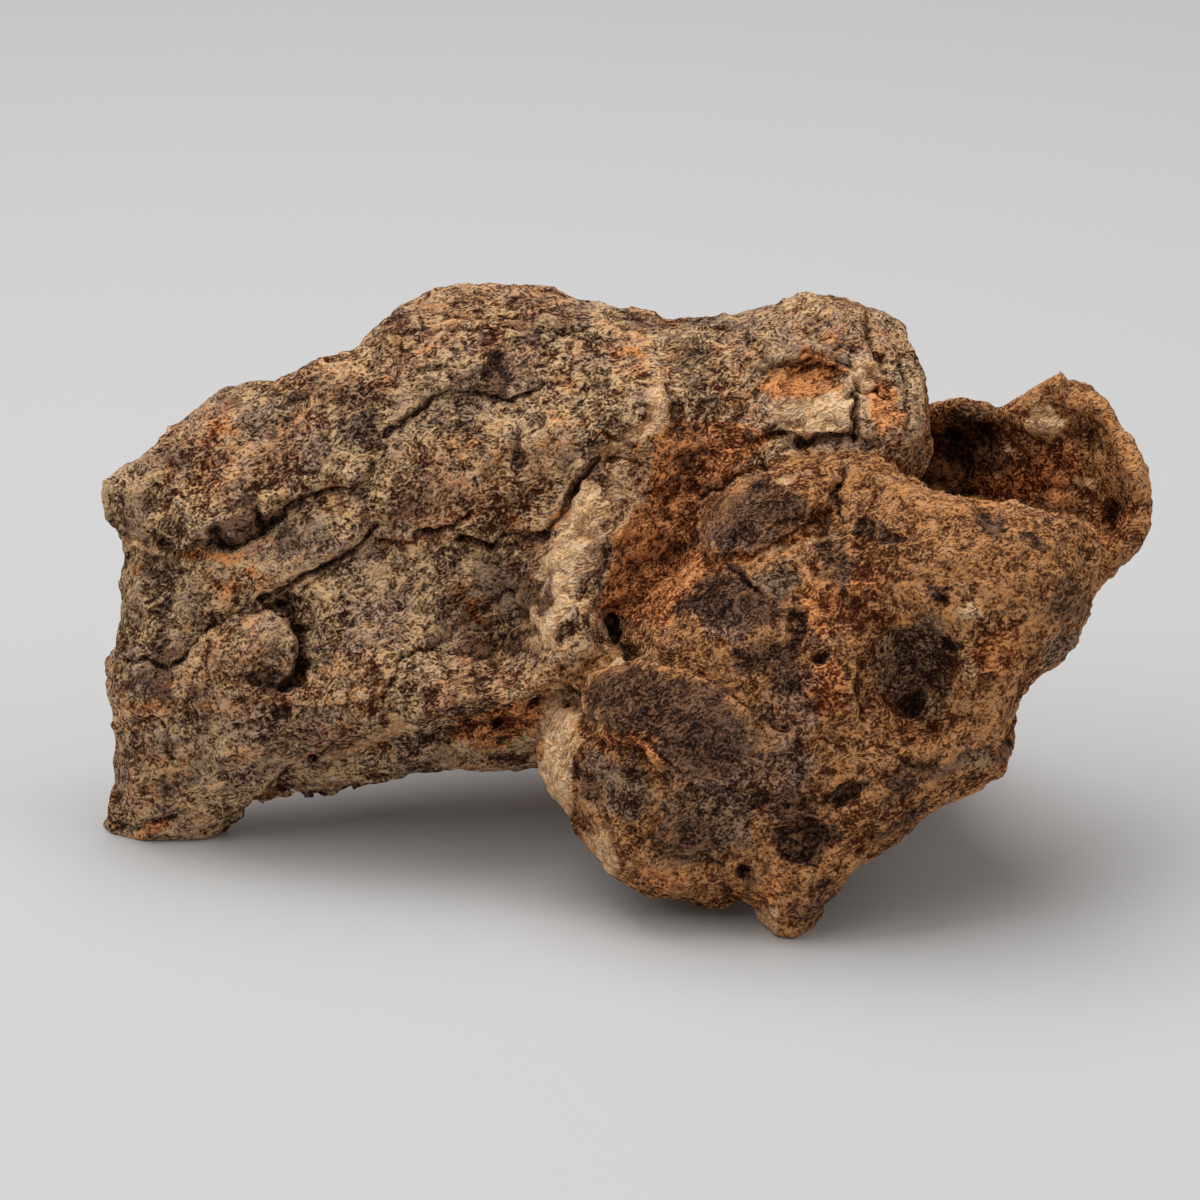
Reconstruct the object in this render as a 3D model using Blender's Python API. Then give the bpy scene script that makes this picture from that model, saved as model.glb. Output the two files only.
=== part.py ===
"""A weathered iron meteorite: a thick bent slab, a prow that juts out of its right half, a hooked horn and an arch.

The stone is laid out on a drawing sheet that leans back from upright by LEAN. A place on the sheet is
(across, up, out) in millimetres: across to the right, up the sheet from the stone's lowest tip, and out of the
sheet towards the viewer. Each lobe of the stone has an outline on the sheet and a relief in front of it and
behind it. The lobes are fused, their faces are broken by chips, ledges, ridges and pits, and the stone is worn
flat where it stands.

Run it with: blender --background --python part.py
"""

import math
from typing import NamedTuple

import bmesh
import bpy
import numpy as np
from mathutils import Vector, noise
from mathutils.geometry import delaunay_2d_cdt

MM = 0.001

# The drawing sheet
LEAN = math.radians(20.0)
SIGHT = 500.0  # the sheet is drawn as seen from this far, so nearer places are drawn in towards the line of sight
SIGHT_ACROSS, SIGHT_UP = -2.4, 27.6
MIDDLE_X, MIDDLE_Y = -1.0, 24.2  # the middle of the stone's footprint box, seen from the tip

# How finely the stone is worked
SHEET_STEP = 0.9
FUSE_STEP = 0.55
FUSE_SMOOTHING = 2
MOST_TRIANGLES = 9600
SEED = 7

BLUNT_Z = 0.12  # the height at which the standing points are worn flat, above the lowest tip
THINNEST = 1.0  # a lobe is at least this thick inside its bevel
PLATE_GIVE = 0.5  # how far the bent plates may pass beside their landmarks

CRUST_COLOUR = (0.118, 0.076, 0.047, 1.0)


class Lobe(NamedTuple):
    """A lens of metal: an outline, the relief in front and behind, and how its edge is shaped."""

    outline: list
    front: dict
    back: dict
    bevel: float  # width of the slope round the front face
    drop: float  # how far that slope falls away behind the front face
    swell: float  # distance from the outline over which the back reaches its full depth


SLAB = Lobe(
    outline=[
        (-40.4, 7.2), (-42.0, 8.0), (-42.3, 9.6), (-41.6, 12.4), (-41.2, 15.2), (-40.7, 17.4), (-41.4, 18.8),
        (-42.0, 20.8), (-41.8, 22.2), (-41.0, 24.4), (-40.6, 26.0), (-40.8, 28.8), (-40.5, 30.8), (-39.8, 31.8),
        (-41.2, 33.0), (-41.8, 35.6), (-41.9, 37.0), (-41.0, 38.0), (-40.6, 38.6), (-39.2, 39.4), (-37.6, 40.8),
        (-35.6, 42.6), (-34.0, 43.8), (-31.6, 44.6), (-29.4, 45.0), (-28.0, 45.7), (-26.4, 46.2), (-25.2, 46.9),
        (-22.8, 47.4), (-21.2, 48.4), (-19.6, 49.6), (-18.4, 50.6), (-17.0, 51.8), (-15.6, 52.6), (-13.6, 53.1),
        (-12.0, 53.3), (-9.6, 53.0), (-7.2, 52.4), (-5.6, 52.2), (-3.2, 51.4), (-1.0, 50.5), (0.8, 50.3),
        (4.0, 50.1), (8.4, 50.1), (10.4, 50.6), (12.4, 51.5), (15.2, 51.9), (17.2, 51.7), (18.6, 50.9),
        (20.0, 50.8), (21.0, 50.7), (21.7, 49.8), (21.8, 48.4), (22.6, 47.4), (23.4, 45.6), (23.7, 43.6),
        (23.6, 38.0), (18.4, 27.6), (5.6, 18.0), (-2.4, 14.8), (-7.1, 14.2), (-10.4, 13.5), (-13.6, 13.5),
        (-16.8, 13.7), (-18.8, 13.2), (-20.8, 12.6), (-22.8, 12.4), (-25.2, 11.6), (-27.2, 11.6),
        (-29.4, 11.2), (-31.2, 9.6), (-32.8, 8.2), (-34.0, 7.8), (-36.0, 7.8), (-38.4, 7.3),
    ],
    front={
        "toe": (-39.0, 9.0, -20.0), "heel": (-33.5, 10.0, -18.5), "shin": (-35.0, 15.0, -14.5),
        "shin edge": (-41.0, 15.0, -17.0), "calf": (-36.0, 21.0, -12.5), "calf edge": (-41.5, 21.0, -14.5),
        "knee": (-30.0, 17.0, -11.0), "nub bed": (-31.0, 24.0, -11.5), "notch": (-40.0, 31.0, -15.0),
        "left tip": (-41.5, 36.0, -14.5), "left cheek": (-34.0, 34.0, -11.5), "left brow": (-34.0, 40.0, -13.0),
        "arch left": (-29.0, 13.0, -15.0), "arch crown left": (-22.0, 14.0, -14.0),
        "arch crown right": (-12.0, 14.5, -14.5), "arch right": (-7.0, 15.0, -13.5),
        "lip left": (-25.0, 17.5, -9.5), "lip middle": (-19.0, 19.0, -7.5), "lip right": (-12.0, 19.5, -6.0),
        "lip end": (-7.0, 21.5, -4.5), "belly left": (-24.0, 25.0, -9.0), "belly right": (-18.0, 27.0, -9.0),
        "fold": (-15.0, 22.5, -8.0), "dark hollow": (-10.5, 24.0, -11.5), "waist": (-13.0, 29.0, -10.5),
        "chest left": (-26.0, 36.0, -9.5), "chest": (-18.0, 36.0, -8.5), "chest right": (-12.0, 40.0, -8.5),
        "brow left": (-26.0, 43.0, -12.0), "brow": (-18.0, 45.0, -10.5), "forehead": (-12.0, 47.5, -10.5),
        "crown": (-12.0, 52.5, -14.0), "temple": (-5.0, 36.0, -7.5), "temple top": (-4.0, 44.0, -9.0),
        "crown right": (-4.0, 50.0, -12.5), "saddle": (4.0, 49.5, -13.5), "saddle foot": (4.0, 45.0, -9.0),
        "vein top": (2.5, 43.0, -7.0), "vein": (-1.5, 34.0, -5.5), "vein low": (-5.0, 26.0, -4.5),
        "valley top": (7.0, 42.0, -8.5), "valley": (5.0, 37.0, -8.5), "valley low": (1.5, 30.5, -8.0),
        "valley mouth": (-0.5, 27.0, -7.5), "block crown": (13.0, 50.5, -9.5), "block top": (18.0, 49.0, -8.5),
        "pillar": (21.0, 48.0, -9.5), "block face": (15.0, 46.0, -6.5), "block left": (12.0, 43.5, -6.5),
        "block foot": (17.5, 42.0, -4.0), "block side": (22.5, 44.0, -7.5), "block heel": (22.5, 39.0, -4.5),
        "under lens": (10.0, 36.0, -6.0), "under prow": (15.0, 30.0, -8.0), "under panel": (5.0, 22.0, -8.0),
    },
    back={
        "toe": (-38.0, 11.0, -28.0), "shin": (-36.0, 20.0, -28.0), "left": (-35.0, 34.0, -27.0),
        "arch left": (-26.0, 16.0, -21.5), "arch right": (-10.0, 18.0, -23.5), "flank": (-23.0, 27.0, -32.0),
        "brow": (-22.0, 41.0, -27.0), "middle": (-7.0, 30.0, -37.0), "crown": (-8.0, 46.0, -27.0),
        "root": (6.0, 24.0, -38.0), "hip": (9.0, 37.0, -38.0), "saddle": (6.0, 46.0, -30.0),
        "block": (17.0, 46.0, -26.0), "block side": (20.0, 32.0, -35.0),
    },
    bevel=2.2, drop=3.2, swell=9.0,
)

PROW = Lobe(
    outline=[
        (-6.8, 20.4), (-3.6, 22.6), (-1.4, 24.4), (0.8, 26.8), (4.8, 30.8), (5.6, 34.0), (6.0, 35.6), (8.8, 37.0),
        (12.0, 38.6), (14.8, 39.8), (17.6, 40.4), (20.0, 39.4), (22.0, 37.4), (24.8, 36.6), (28.0, 35.6),
        (32.0, 35.0), (35.2, 34.6), (37.0, 33.8), (37.8, 32.4), (37.2, 29.2), (36.8, 27.2), (36.0, 24.4),
        (35.2, 23.0), (33.6, 22.0), (31.6, 21.4), (31.0, 19.6), (30.4, 18.0), (30.2, 16.4), (30.5, 15.6),
        (30.2, 14.4), (29.2, 13.4), (27.6, 12.5), (24.8, 11.6), (23.6, 10.6), (22.0, 9.4), (21.0, 8.0),
        (19.6, 7.0), (18.0, 5.8), (16.6, 4.0), (15.8, 2.4), (14.6, 0.9), (13.3, -0.5), (12.2, -0.5), (11.1, 1.0),
        (10.0, 2.2), (9.2, 3.2), (7.6, 3.2), (5.6, 2.6), (4.4, 3.1), (2.4, 3.4), (0.8, 4.2), (-0.6, 4.6),
        (-1.8, 5.8), (-3.2, 7.6), (-4.4, 9.2), (-5.6, 11.4), (-6.6, 12.8), (-7.1, 14.2), (-6.7, 15.8),
        (-6.4, 17.6),
    ],
    front={
        "tip": (12.7, 1.5, 1.5), "tip shoulder": (9.5, 5.0, 1.5), "chin": (5.0, 5.0, 0.5),
        "chin left": (0.5, 6.5, 0.5), "cheek low": (-2.8, 10.0, 0.5), "cheek": (-3.6, 14.0, 1.5),
        "cheek high": (-3.0, 19.0, 0.5), "corner": (-4.5, 21.0, -2.0), "panel": (3.0, 19.5, 3.5),
        "lower panel": (2.5, 12.0, 3.0), "keel line": (8.0, 9.5, 3.5), "under pit": (13.0, 8.0, 4.0),
        "ridge": (16.0, 12.5, 5.5), "ridge left": (10.0, 13.0, 4.5), "jaw": (21.0, 11.5, 4.5),
        "jaw ear": (28.5, 15.0, 4.0), "bowl": (22.0, 21.0, 4.0), "bowl left": (16.0, 22.0, 6.0),
        "bowl right": (28.0, 23.0, 6.5), "bowl foot": (22.0, 16.0, 6.0), "plateau": (24.0, 29.0, 7.5),
        "plateau right": (32.0, 29.0, 6.5), "plateau edge": (35.5, 26.0, 4.5), "shoulder": (30.0, 33.5, 6.0),
        "shoulder end": (36.0, 32.5, 5.0), "top": (22.0, 35.5, 4.0), "lens": (11.0, 34.0, 2.0),
        "lens top": (15.0, 38.0, 0.0), "lens left": (7.5, 33.0, 0.0), "furrow": (16.5, 29.0, 4.5),
        "slope": (8.0, 28.0, 3.0), "slot": (0.5, 24.5, 0.0), "slope left": (4.5, 27.0, 0.5),
    },
    back={
        "tip": (12.5, 4.0, -7.0), "chin": (4.0, 7.0, -10.0), "cheek": (-3.0, 14.0, -14.0),
        "root": (8.0, 20.0, -24.0), "root right": (20.0, 18.0, -22.0), "ear": (28.0, 16.0, -9.0),
        "flank": (33.0, 26.0, -9.0), "rim": (24.0, 34.5, -1.0), "rim middle": (29.0, 33.0, -1.5),
        "rim end": (34.5, 31.5, -3.0), "lens": (12.0, 34.0, -12.0),
    },
    bevel=2.8, drop=5.0, swell=7.0,
)

HORN = Lobe(
    outline=[
        (22.0, 26.0), (21.0, 36.0), (22.5, 43.0), (24.8, 43.7), (26.2, 43.9), (27.2, 43.5), (29.6, 43.3),
        (31.4, 43.5), (32.4, 44.6), (33.0, 45.4), (33.9, 45.8), (34.8, 45.2), (36.8, 44.7), (38.0, 43.8),
        (39.0, 42.2), (40.4, 40.6), (41.0, 38.8), (41.4, 37.2), (41.7, 36.0), (41.4, 35.0), (41.7, 33.8),
        (40.8, 32.0), (39.2, 30.4), (37.6, 28.8), (36.8, 27.2), (35.0, 24.0), (28.0, 22.0),
    ],
    front={
        "pocket left": (25.0, 38.5, -20.0), "pocket": (28.0, 37.5, -18.0), "pocket right": (33.0, 37.5, -12.0),
        "pocket floor": (28.0, 31.0, -13.0), "lip": (26.5, 42.8, -15.0), "lip right": (31.0, 42.3, -11.0),
        "horn tip": (34.0, 44.8, -8.5), "horn face": (35.0, 41.0, -8.5), "rim top": (38.0, 42.0, -5.0),
        "rim": (39.8, 37.5, -2.5), "rim low": (40.2, 33.8, -2.0), "gap": (37.0, 34.5, -9.0),
        "spur": (38.5, 31.0, -3.0), "root": (34.0, 28.0, -6.0), "root left": (25.0, 28.0, -12.0),
    },
    back={
        "lip": (26.0, 41.0, -24.5), "horn": (34.0, 42.5, -17.0), "rim": (39.5, 37.0, -12.5),
        "spur": (37.5, 31.0, -14.0), "root": (30.0, 31.0, -24.0), "heel": (28.0, 26.0, -22.0),
    },
    bevel=1.3, drop=1.8, swell=2.2,
)

KEEL = Lobe(
    outline=[
        (5.0, 7.0), (0.0, 11.0), (-3.0, 17.0), (-2.0, 28.0), (6.0, 35.0), (16.0, 36.0), (24.0, 33.0), (29.0, 27.0),
        (29.0, 19.0), (25.0, 14.0), (19.0, 9.5), (11.0, 6.5),
    ],
    front={
        "middle": (12.0, 20.0, -6.0), "left": (0.0, 20.0, -8.0), "right": (26.0, 22.0, -6.0),
        "low": (12.0, 9.0, -5.0),
    },
    back={
        "heel": (14.0, 13.5, -40.0), "heel left": (6.0, 14.0, -36.0), "heel right": (23.0, 16.5, -37.0),
        "back": (12.0, 22.0, -44.0), "back top": (12.0, 32.0, -40.0), "back right": (25.0, 26.0, -36.0),
        "back left": (0.0, 24.0, -38.0), "underside": (9.0, 8.5, -18.0), "underside right": (19.0, 11.0, -20.0),
    },
    bevel=3.0, drop=4.0, swell=4.0,
)

LOBES = {"slab": SLAB, "prow": PROW, "horn": HORN, "keel": KEEL}


class Ledge(NamedTuple):
    """A step along a line. The ground on the right of the line, as it is walked, falls away and climbs back."""

    path: list
    drop: float
    fade: float


class Ridge(NamedTuple):
    """A spine along a line, or a groove where the height is negative."""

    path: list
    height: float
    half_width: float


class Dome(NamedTuple):
    """An oval swelling, or a dent where the height is negative. Its long axis is turned up from across."""

    centre: tuple
    long: float
    short: float
    turn: float
    height: float


class Facet(NamedTuple):
    """A flat broken face through three corners on the sheet. What stands in front of it, within reach, is gone."""

    corners: list
    reach: float


LEDGES = {
    "slab lip": Ledge(
        [(-41.5, 31.6), (-36.8, 31.1), (-34.4, 31.9), (-31.2, 33.4), (-28.4, 34.8), (-26.4, 35.8), (-22.4, 36.4),
         (-20.6, 37.4)], 1.1, 4.5),
    "middle crack": Ledge(
        [(-33.2, 27.4), (-30.4, 27.8), (-26.4, 28.8), (-24.0, 30.2), (-22.4, 31.4), (-20.4, 32.8), (-18.4, 32.3),
         (-16.8, 33.2), (-14.4, 33.5), (-12.6, 34.6), (-11.6, 35.8)], 0.7, 4.0),
    "upper shelf": Ledge(
        [(-21.1, 40.6), (-19.2, 41.6), (-17.3, 42.8), (-16.0, 43.7), (-12.8, 44.1), (-10.4, 43.6), (-6.8, 44.4)],
        0.6, 4.0),
    "fault": Ledge(
        [(-11.6, 32.4), (-7.6, 32.4), (-5.6, 33.4), (-4.2, 35.0), (-3.4, 36.6), (-2.0, 38.4), (0.2, 40.4),
         (1.8, 42.8), (2.0, 45.8)], 1.3, 3.0),
    "lower lip": Ledge(
        [(-29.4, 12.4), (-26.4, 15.0), (-23.2, 16.0), (-21.4, 16.4), (-18.4, 17.8), (-14.4, 17.8), (-12.0, 18.6),
         (-8.8, 19.6), (-6.6, 20.6)], 2.2, 7.0),
    "nub": Ledge(
        [(-28.4, 20.4), (-26.7, 21.8), (-26.2, 23.6), (-26.4, 25.8), (-27.6, 27.2), (-29.4, 27.4), (-32.4, 26.4),
         (-34.4, 24.4), (-36.6, 23.2)], 1.0, 2.0),
    "panel top": Ledge(
        [(12.8, 16.4), (9.6, 19.4), (6.0, 21.6), (2.4, 22.6), (-0.8, 22.8), (-3.6, 22.2)], 0.7, 3.0),
    "panel foot": Ledge([(-4.4, 20.4), (-3.2, 18.4), (-1.4, 16.8), (0.8, 15.4), (3.2, 13.8)], 1.2, 4.5),
    "bowl foot": Ledge(
        [(27.6, 19.2), (25.6, 17.4), (21.6, 16.0), (17.6, 14.4), (15.2, 12.4), (10.4, 11.2), (7.4, 9.6)], 1.3, 5.0),
    "lens foot": Ledge(
        [(5.0, 31.6), (7.2, 31.0), (10.4, 32.0), (12.8, 32.8), (15.2, 34.2), (17.0, 37.0)], 1.2, 4.0),
    "block foot": Ledge([(9.6, 40.0), (12.4, 41.0), (16.0, 40.8), (18.2, 40.6)], 1.2, 3.0),
}

RIDGES = {
    "vein": Ridge(
        [(3.0, 44.2), (1.6, 40.4), (0.2, 37.2), (-1.6, 34.0), (-3.2, 30.8), (-4.0, 27.6), (-5.6, 24.4)], 1.0, 1.6),
    "nub moat": Ridge([(-27.6, 20.8), (-25.8, 22.4), (-25.4, 24.4), (-26.2, 26.6), (-28.0, 28.0)], -0.9, 0.6),
    "slot": Ridge([(-1.4, 26.2), (-0.9, 24.8), (-0.2, 23.2)], -1.8, 0.9),
    "furrow": Ridge([(16.6, 37.2), (17.0, 34.0), (16.4, 30.0), (17.2, 26.0), (19.2, 23.6)], -0.9, 1.4),
    "fold": Ridge([(-19.6, 19.6), (-18.4, 23.0), (-14.4, 24.6), (-10.8, 27.8), (-9.0, 28.8)], -0.4, 1.3),
    "shin furrow": Ridge([(-37.0, 12.5), (-34.8, 17.0), (-35.6, 21.2)], -0.6, 1.2),
}

DOMES = {
    "nub": Dome((-30.4, 23.8), 4.6, 3.2, 38.0, 1.6),
    "bowl": Dome((22.4, 21.6), 5.8, 3.8, 75.0, -1.7),
    "tip pit": Dome((13.6, 8.2), 3.2, 2.6, 20.0, -1.3),
    "jaw pit": Dome((17.2, 11.8), 1.5, 1.3, 0.0, -0.8),
    "chin pit": Dome((18.6, 8.4), 1.9, 1.4, 30.0, -0.8),
    "slope pit": Dome((13.6, 25.6), 1.2, 1.5, 0.0, -0.7),
    "lower slope pit": Dome((12.4, 23.4), 1.8, 1.3, 20.0, -0.8),
    "upper pit": Dome((18.8, 33.0), 1.5, 1.2, 80.0, -0.8),
    "upper right pit": Dome((21.0, 33.0), 1.0, 0.9, 0.0, -0.6),
    "shoulder pit": Dome((28.4, 33.4), 2.0, 1.2, -40.0, -0.8),
    "rust hollow": Dome((14.2, 45.0), 3.6, 1.9, 15.0, -1.7),
    "knob": Dome((21.0, 41.2), 2.6, 2.0, 60.0, 1.8),
    "chest dent": Dome((-9.6, 47.4), 3.2, 2.0, 10.0, -0.7),
    "jaw ear": Dome((29.0, 15.0), 2.0, 1.6, 0.0, 1.0),
    "horn tip": Dome((33.9, 45.0), 1.2, 1.0, 0.0, 0.6),
    "horn dent": Dome((36.8, 40.2), 2.2, 1.8, 30.0, -0.9),
    "dark hollow": Dome((-10.2, 24.2), 3.4, 1.8, 20.0, -0.8),
    "rim gap": Dome((38.4, 34.0), 2.0, 1.2, 75.0, -1.6),
}

FACETS = {
    "prow side": Facet([(-4.4, 20.6, 0.2), (1.4, 6.4, 1.6), (-7.4, 13.4, -6.0)], 10.0),
    "chin side": Facet([(-2.0, 8.6, 1.2), (4.6, 4.4, 1.2), (-0.6, 4.2, -5.0)], 4.5),
    "tip side": Facet([(12.6, -0.2, 1.2), (12.0, 3.4, 1.8), (9.4, 2.4, -2.5)], 3.0),
    "jaw edge": Facet([(14.4, 3.4, 1.8), (21.6, 10.4, 3.2), (19.4, 6.4, -2.0)], 5.0),
    "ear edge": Facet([(24.0, 12.6, 3.6), (29.6, 16.6, 3.2), (29.0, 12.8, -1.0)], 4.0),
    "plateau side": Facet([(31.6, 23.4, 4.6), (36.0, 28.6, 4.6), (37.0, 24.6, -1.5)], 5.0),
    "brow": Facet([(-28.0, 44.8, -13.4), (-17.2, 50.2, -12.2), (-22.0, 50.0, -17.5)], 7.0),
    "cheek": Facet([(-40.4, 38.4, -15.5), (-31.0, 42.8, -13.6), (-37.6, 42.6, -19.5)], 6.0),
    "shin side": Facet([(-39.4, 18.4, -15.2), (-39.0, 10.0, -18.6), (-42.6, 14.0, -21.0)], 6.0),
}

# Which faces are carved: the shown side fades in from edge-on, and the far side from edge-on the other way
SHOWN_FROM, SHOWN_TURN, AWAY_TURN = 0.05, 0.3, 0.6
LEDGE_FALL = 0.6  # width over which a ledge drops
LEDGE_ENDS = (0.25, 2.5)  # share of the drop left at a ledge's ends, and the length over which it comes back
DOME_FLAT, DOME_END = 0.35, 1.15  # a dome is level out to the first share of its oval and ends at the second
LUMPS = (("rounded", 7.0, 0.55), ("ridged", 4.0, 0.28), ("rounded", 1.9, 0.20))  # kind, width and height

# The side away from the viewer: broken faces, then shallow thumbprints
BROKEN_FACES = 44
FACE_REACH = (7.0, 14.0)
FACE_BITE = (0.3, 1.1)
FACE_TILT = 0.22
FACE_DEEPEST = 1.8
FACE_RIM = 3.0  # a broken face fades out over its reach divided by this
THUMBPRINTS = 22
PRINT_RADIUS = (3.0, 6.0)
PRINT_DEPTH = (0.6, 1.3)


def smooth(t):
    """0 to 1 with no slope at either end."""
    t = np.clip(t, 0.0, 1.0)
    return t * t * (3.0 - 2.0 * t)


def round_edge(t):
    """0 to 1 as a quarter circle rises: upright at 0, level at 1."""
    return np.sqrt(1.0 - (1.0 - np.clip(t, 0.0, 1.0)) ** 2)


def along(path, places):
    """Distance of each place from a line of straight runs, and the side: positive on the right as it is walked."""
    path = np.array(path, float)
    start, run = path[:-1], path[1:] - path[:-1]
    offset = places[:, None, :2] - start[None]
    share = np.clip((offset * run).sum(2) / (run**2).sum(1), 0.0, 1.0)
    gap = offset - share[..., None] * run
    reach = np.linalg.norm(gap, axis=2)
    nearest = reach.argmin(1)
    row = np.arange(len(places))
    turn = offset[row, nearest, 1] * run[nearest, 0] - offset[row, nearest, 0] * run[nearest, 1]
    return reach[row, nearest], np.where(turn < 0, 1.0, -1.0)


def stretched(landmarks, places):
    """The depth at each place of a thin plate bent through the landmarks."""
    marks = np.array(list(landmarks.values()), float)

    def pull(a, b):
        gap = np.maximum(np.linalg.norm(a[:, None, :2] - b[None, :, :2], axis=2), 1e-6)
        return gap**2 * np.log(gap)

    count = len(marks)
    plane = np.c_[np.ones(count), marks[:, :2]]
    system = np.zeros((count + 3, count + 3))
    system[:count, :count] = pull(marks, marks) + PLATE_GIVE * np.eye(count)
    system[:count, count:] = plane
    system[count:, :count] = plane.T
    weights = np.linalg.solve(system, np.r_[marks[:, 2], 0.0, 0.0, 0.0])
    return pull(places, marks) @ weights[:count] + np.c_[np.ones(len(places)), places] @ weights[count:]


def sheet_grid(outline):
    """The outline filled with an even grid, as places on the sheet and triangles that wind anticlockwise."""
    edge = np.array(outline, float)
    low, high = edge.min(0), edge.max(0)
    ups = np.arange(low[1], high[1], SHEET_STEP * math.sqrt(3) / 2)
    grid = [
        (across + SHEET_STEP / 2 * (row % 2), up)
        for row, up in enumerate(ups)
        for across in np.arange(low[0], high[0], SHEET_STEP)
    ]
    grid = np.array(grid)
    reach, _ = along(np.r_[edge, edge[:1]], grid)
    grid = grid[reach > SHEET_STEP / 2]
    loop = [(i, (i + 1) % len(edge)) for i in range(len(edge))]
    found = delaunay_2d_cdt([Vector(p) for p in np.r_[edge, grid]], loop, [], 1, 1e-5)
    return np.array([tuple(p) for p in found[0]]), [list(t) for t in found[2]]


def to_world(places):
    """Places on the sheet, in millimetres, as world places in metres."""
    across, up, out = places.T
    nearer = 1.0 - out / SIGHT
    across = SIGHT_ACROSS + (across - SIGHT_ACROSS) * nearer
    up = SIGHT_UP + (up - SIGHT_UP) * nearer
    x = across - MIDDLE_X
    y = up * math.sin(LEAN) - out * math.cos(LEAN) - MIDDLE_Y
    z = up * math.cos(LEAN) + out * math.sin(LEAN) - BLUNT_Z
    return np.c_[x, y, z] * MM


def to_sheet(points):
    """World places in metres as places on the sheet, in millimetres."""
    x, y, z = (points / MM + [MIDDLE_X, MIDDLE_Y, BLUNT_Z]).T
    up = y * math.sin(LEAN) + z * math.cos(LEAN)
    out = z * math.sin(LEAN) - y * math.cos(LEAN)
    nearer = 1.0 - out / SIGHT
    return np.c_[SIGHT_ACROSS + (x - SIGHT_ACROSS) / nearer, SIGHT_UP + (up - SIGHT_UP) / nearer, out]


def lobe_shape(mesh, lobe):
    """Adds a lobe to the bmesh as one closed lens."""
    places, triangles = sheet_grid(lobe.outline)
    edge = lobe.outline + lobe.outline[:1]
    inward, _ = along(edge, places)
    front = stretched(lobe.front, places)
    back = np.minimum(stretched(lobe.back, places), front - lobe.drop - THINNEST)
    rim = front - lobe.drop
    outs = rim + lobe.drop * round_edge(inward / lobe.bevel), rim - (rim - back) * round_edge(inward / lobe.swell)
    on_edge = inward < 1e-4
    sides = []
    for out in outs:
        points = to_world(np.c_[places, np.where(on_edge, rim, out)])
        shared = sides[0] if sides else [None] * len(points)
        sides.append([
            shared[i] if on_edge[i] and shared[i] else mesh.verts.new(point) for i, point in enumerate(points)
        ])
    for triangle in triangles:
        mesh.faces.new([sides[0][i] for i in triangle])
        mesh.faces.new([sides[1][i] for i in reversed(triangle)])


def fused_lobes():
    """All the lobes as one mesh with an even net of faces."""
    mesh = bmesh.new()
    for lobe in LOBES.values():
        lobe_shape(mesh, lobe)
    bmesh.ops.recalc_face_normals(mesh, faces=mesh.faces)
    rough = bpy.data.meshes.new("lobes")
    mesh.to_mesh(rough)
    mesh.free()
    return worked(rough, ("REMESH", {"mode": "VOXEL", "voxel_size": FUSE_STEP * MM}),
                  ("SMOOTH", {"factor": 0.5, "iterations": FUSE_SMOOTHING}))


def worked(mesh, *steps):
    """The mesh after modifiers, each given as its type and settings."""
    holder = bpy.data.objects.new("holder", mesh)
    bpy.context.scene.collection.objects.link(holder)
    for kind, settings in steps:
        modifier = holder.modifiers.new(kind.title(), kind)
        for name, value in settings.items():
            setattr(modifier, name, value)
    graph = bpy.context.evaluated_depsgraph_get()
    made = bpy.data.meshes.new_from_object(holder.evaluated_get(graph))
    bpy.data.objects.remove(holder)
    return made


def points_of(mesh):
    points = np.empty(len(mesh.vertices) * 3, np.float32)
    mesh.vertices.foreach_get("co", points)
    return points.reshape(-1, 3).astype(float)


def normals_of(mesh):
    normals = np.empty(len(mesh.vertices) * 3, np.float32)
    mesh.vertex_normals.foreach_get("vector", normals)
    return normals.reshape(-1, 3).astype(float)


def ledge_depth(ledge, places):
    reach, side = along(ledge.path, places)
    into = reach * side
    ends = np.minimum(
        np.linalg.norm(places[:, :2] - ledge.path[0], axis=1), np.linalg.norm(places[:, :2] - ledge.path[-1], axis=1)
    )
    fall = smooth(into / LEDGE_FALL + 0.5) * smooth((ledge.fade - into) / ledge.fade)
    least, reach_back = LEDGE_ENDS
    return -ledge.drop * fall * smooth(least + ends / reach_back)


def ridge_height(ridge, places):
    reach, _ = along(ridge.path, places)
    return ridge.height * smooth(1.0 - reach / (2.0 * ridge.half_width))


def dome_height(dome, places):
    turn = math.radians(dome.turn)
    offset = places[:, :2] - dome.centre
    lengthwise = offset @ [math.cos(turn), math.sin(turn)] / dome.long
    sideways = offset @ [-math.sin(turn), math.cos(turn)] / dome.short
    reach = np.hypot(lengthwise, sideways)
    return dome.height * smooth((DOME_END - reach) / (DOME_END - DOME_FLAT))


def faceted(places):
    """The places on the sheet with what stands in front of each facet cut back to it."""
    places = places.copy()
    for facet in FACETS.values():
        first, second, third = np.array(facet.corners)
        middle = (first + second + third) / 3.0
        across = np.cross(second - first, third - first)
        across /= np.linalg.norm(across) * math.copysign(1.0, across[2])
        near = smooth(2.0 - 2.0 * np.linalg.norm(places - middle, axis=1) / facet.reach)
        beyond = np.maximum((places - middle) @ across, 0.0) * near
        places -= beyond[:, None] * across
    return places


def roughness(points):
    """Lumps and dents of a broken, rusted face: a few millimetres across and a few tenths high."""
    heights = np.zeros(len(points))
    for turn, (kind, width, height) in enumerate(LUMPS):
        spots = points / (width * MM) + SEED * (1.0 - turn)
        lumps = np.array([noise.noise(spot) for spot in spots.tolist()])
        heights += height * (lumps if kind == "rounded" else 1.0 - 2.0 * np.abs(lumps))
    return heights


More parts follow.
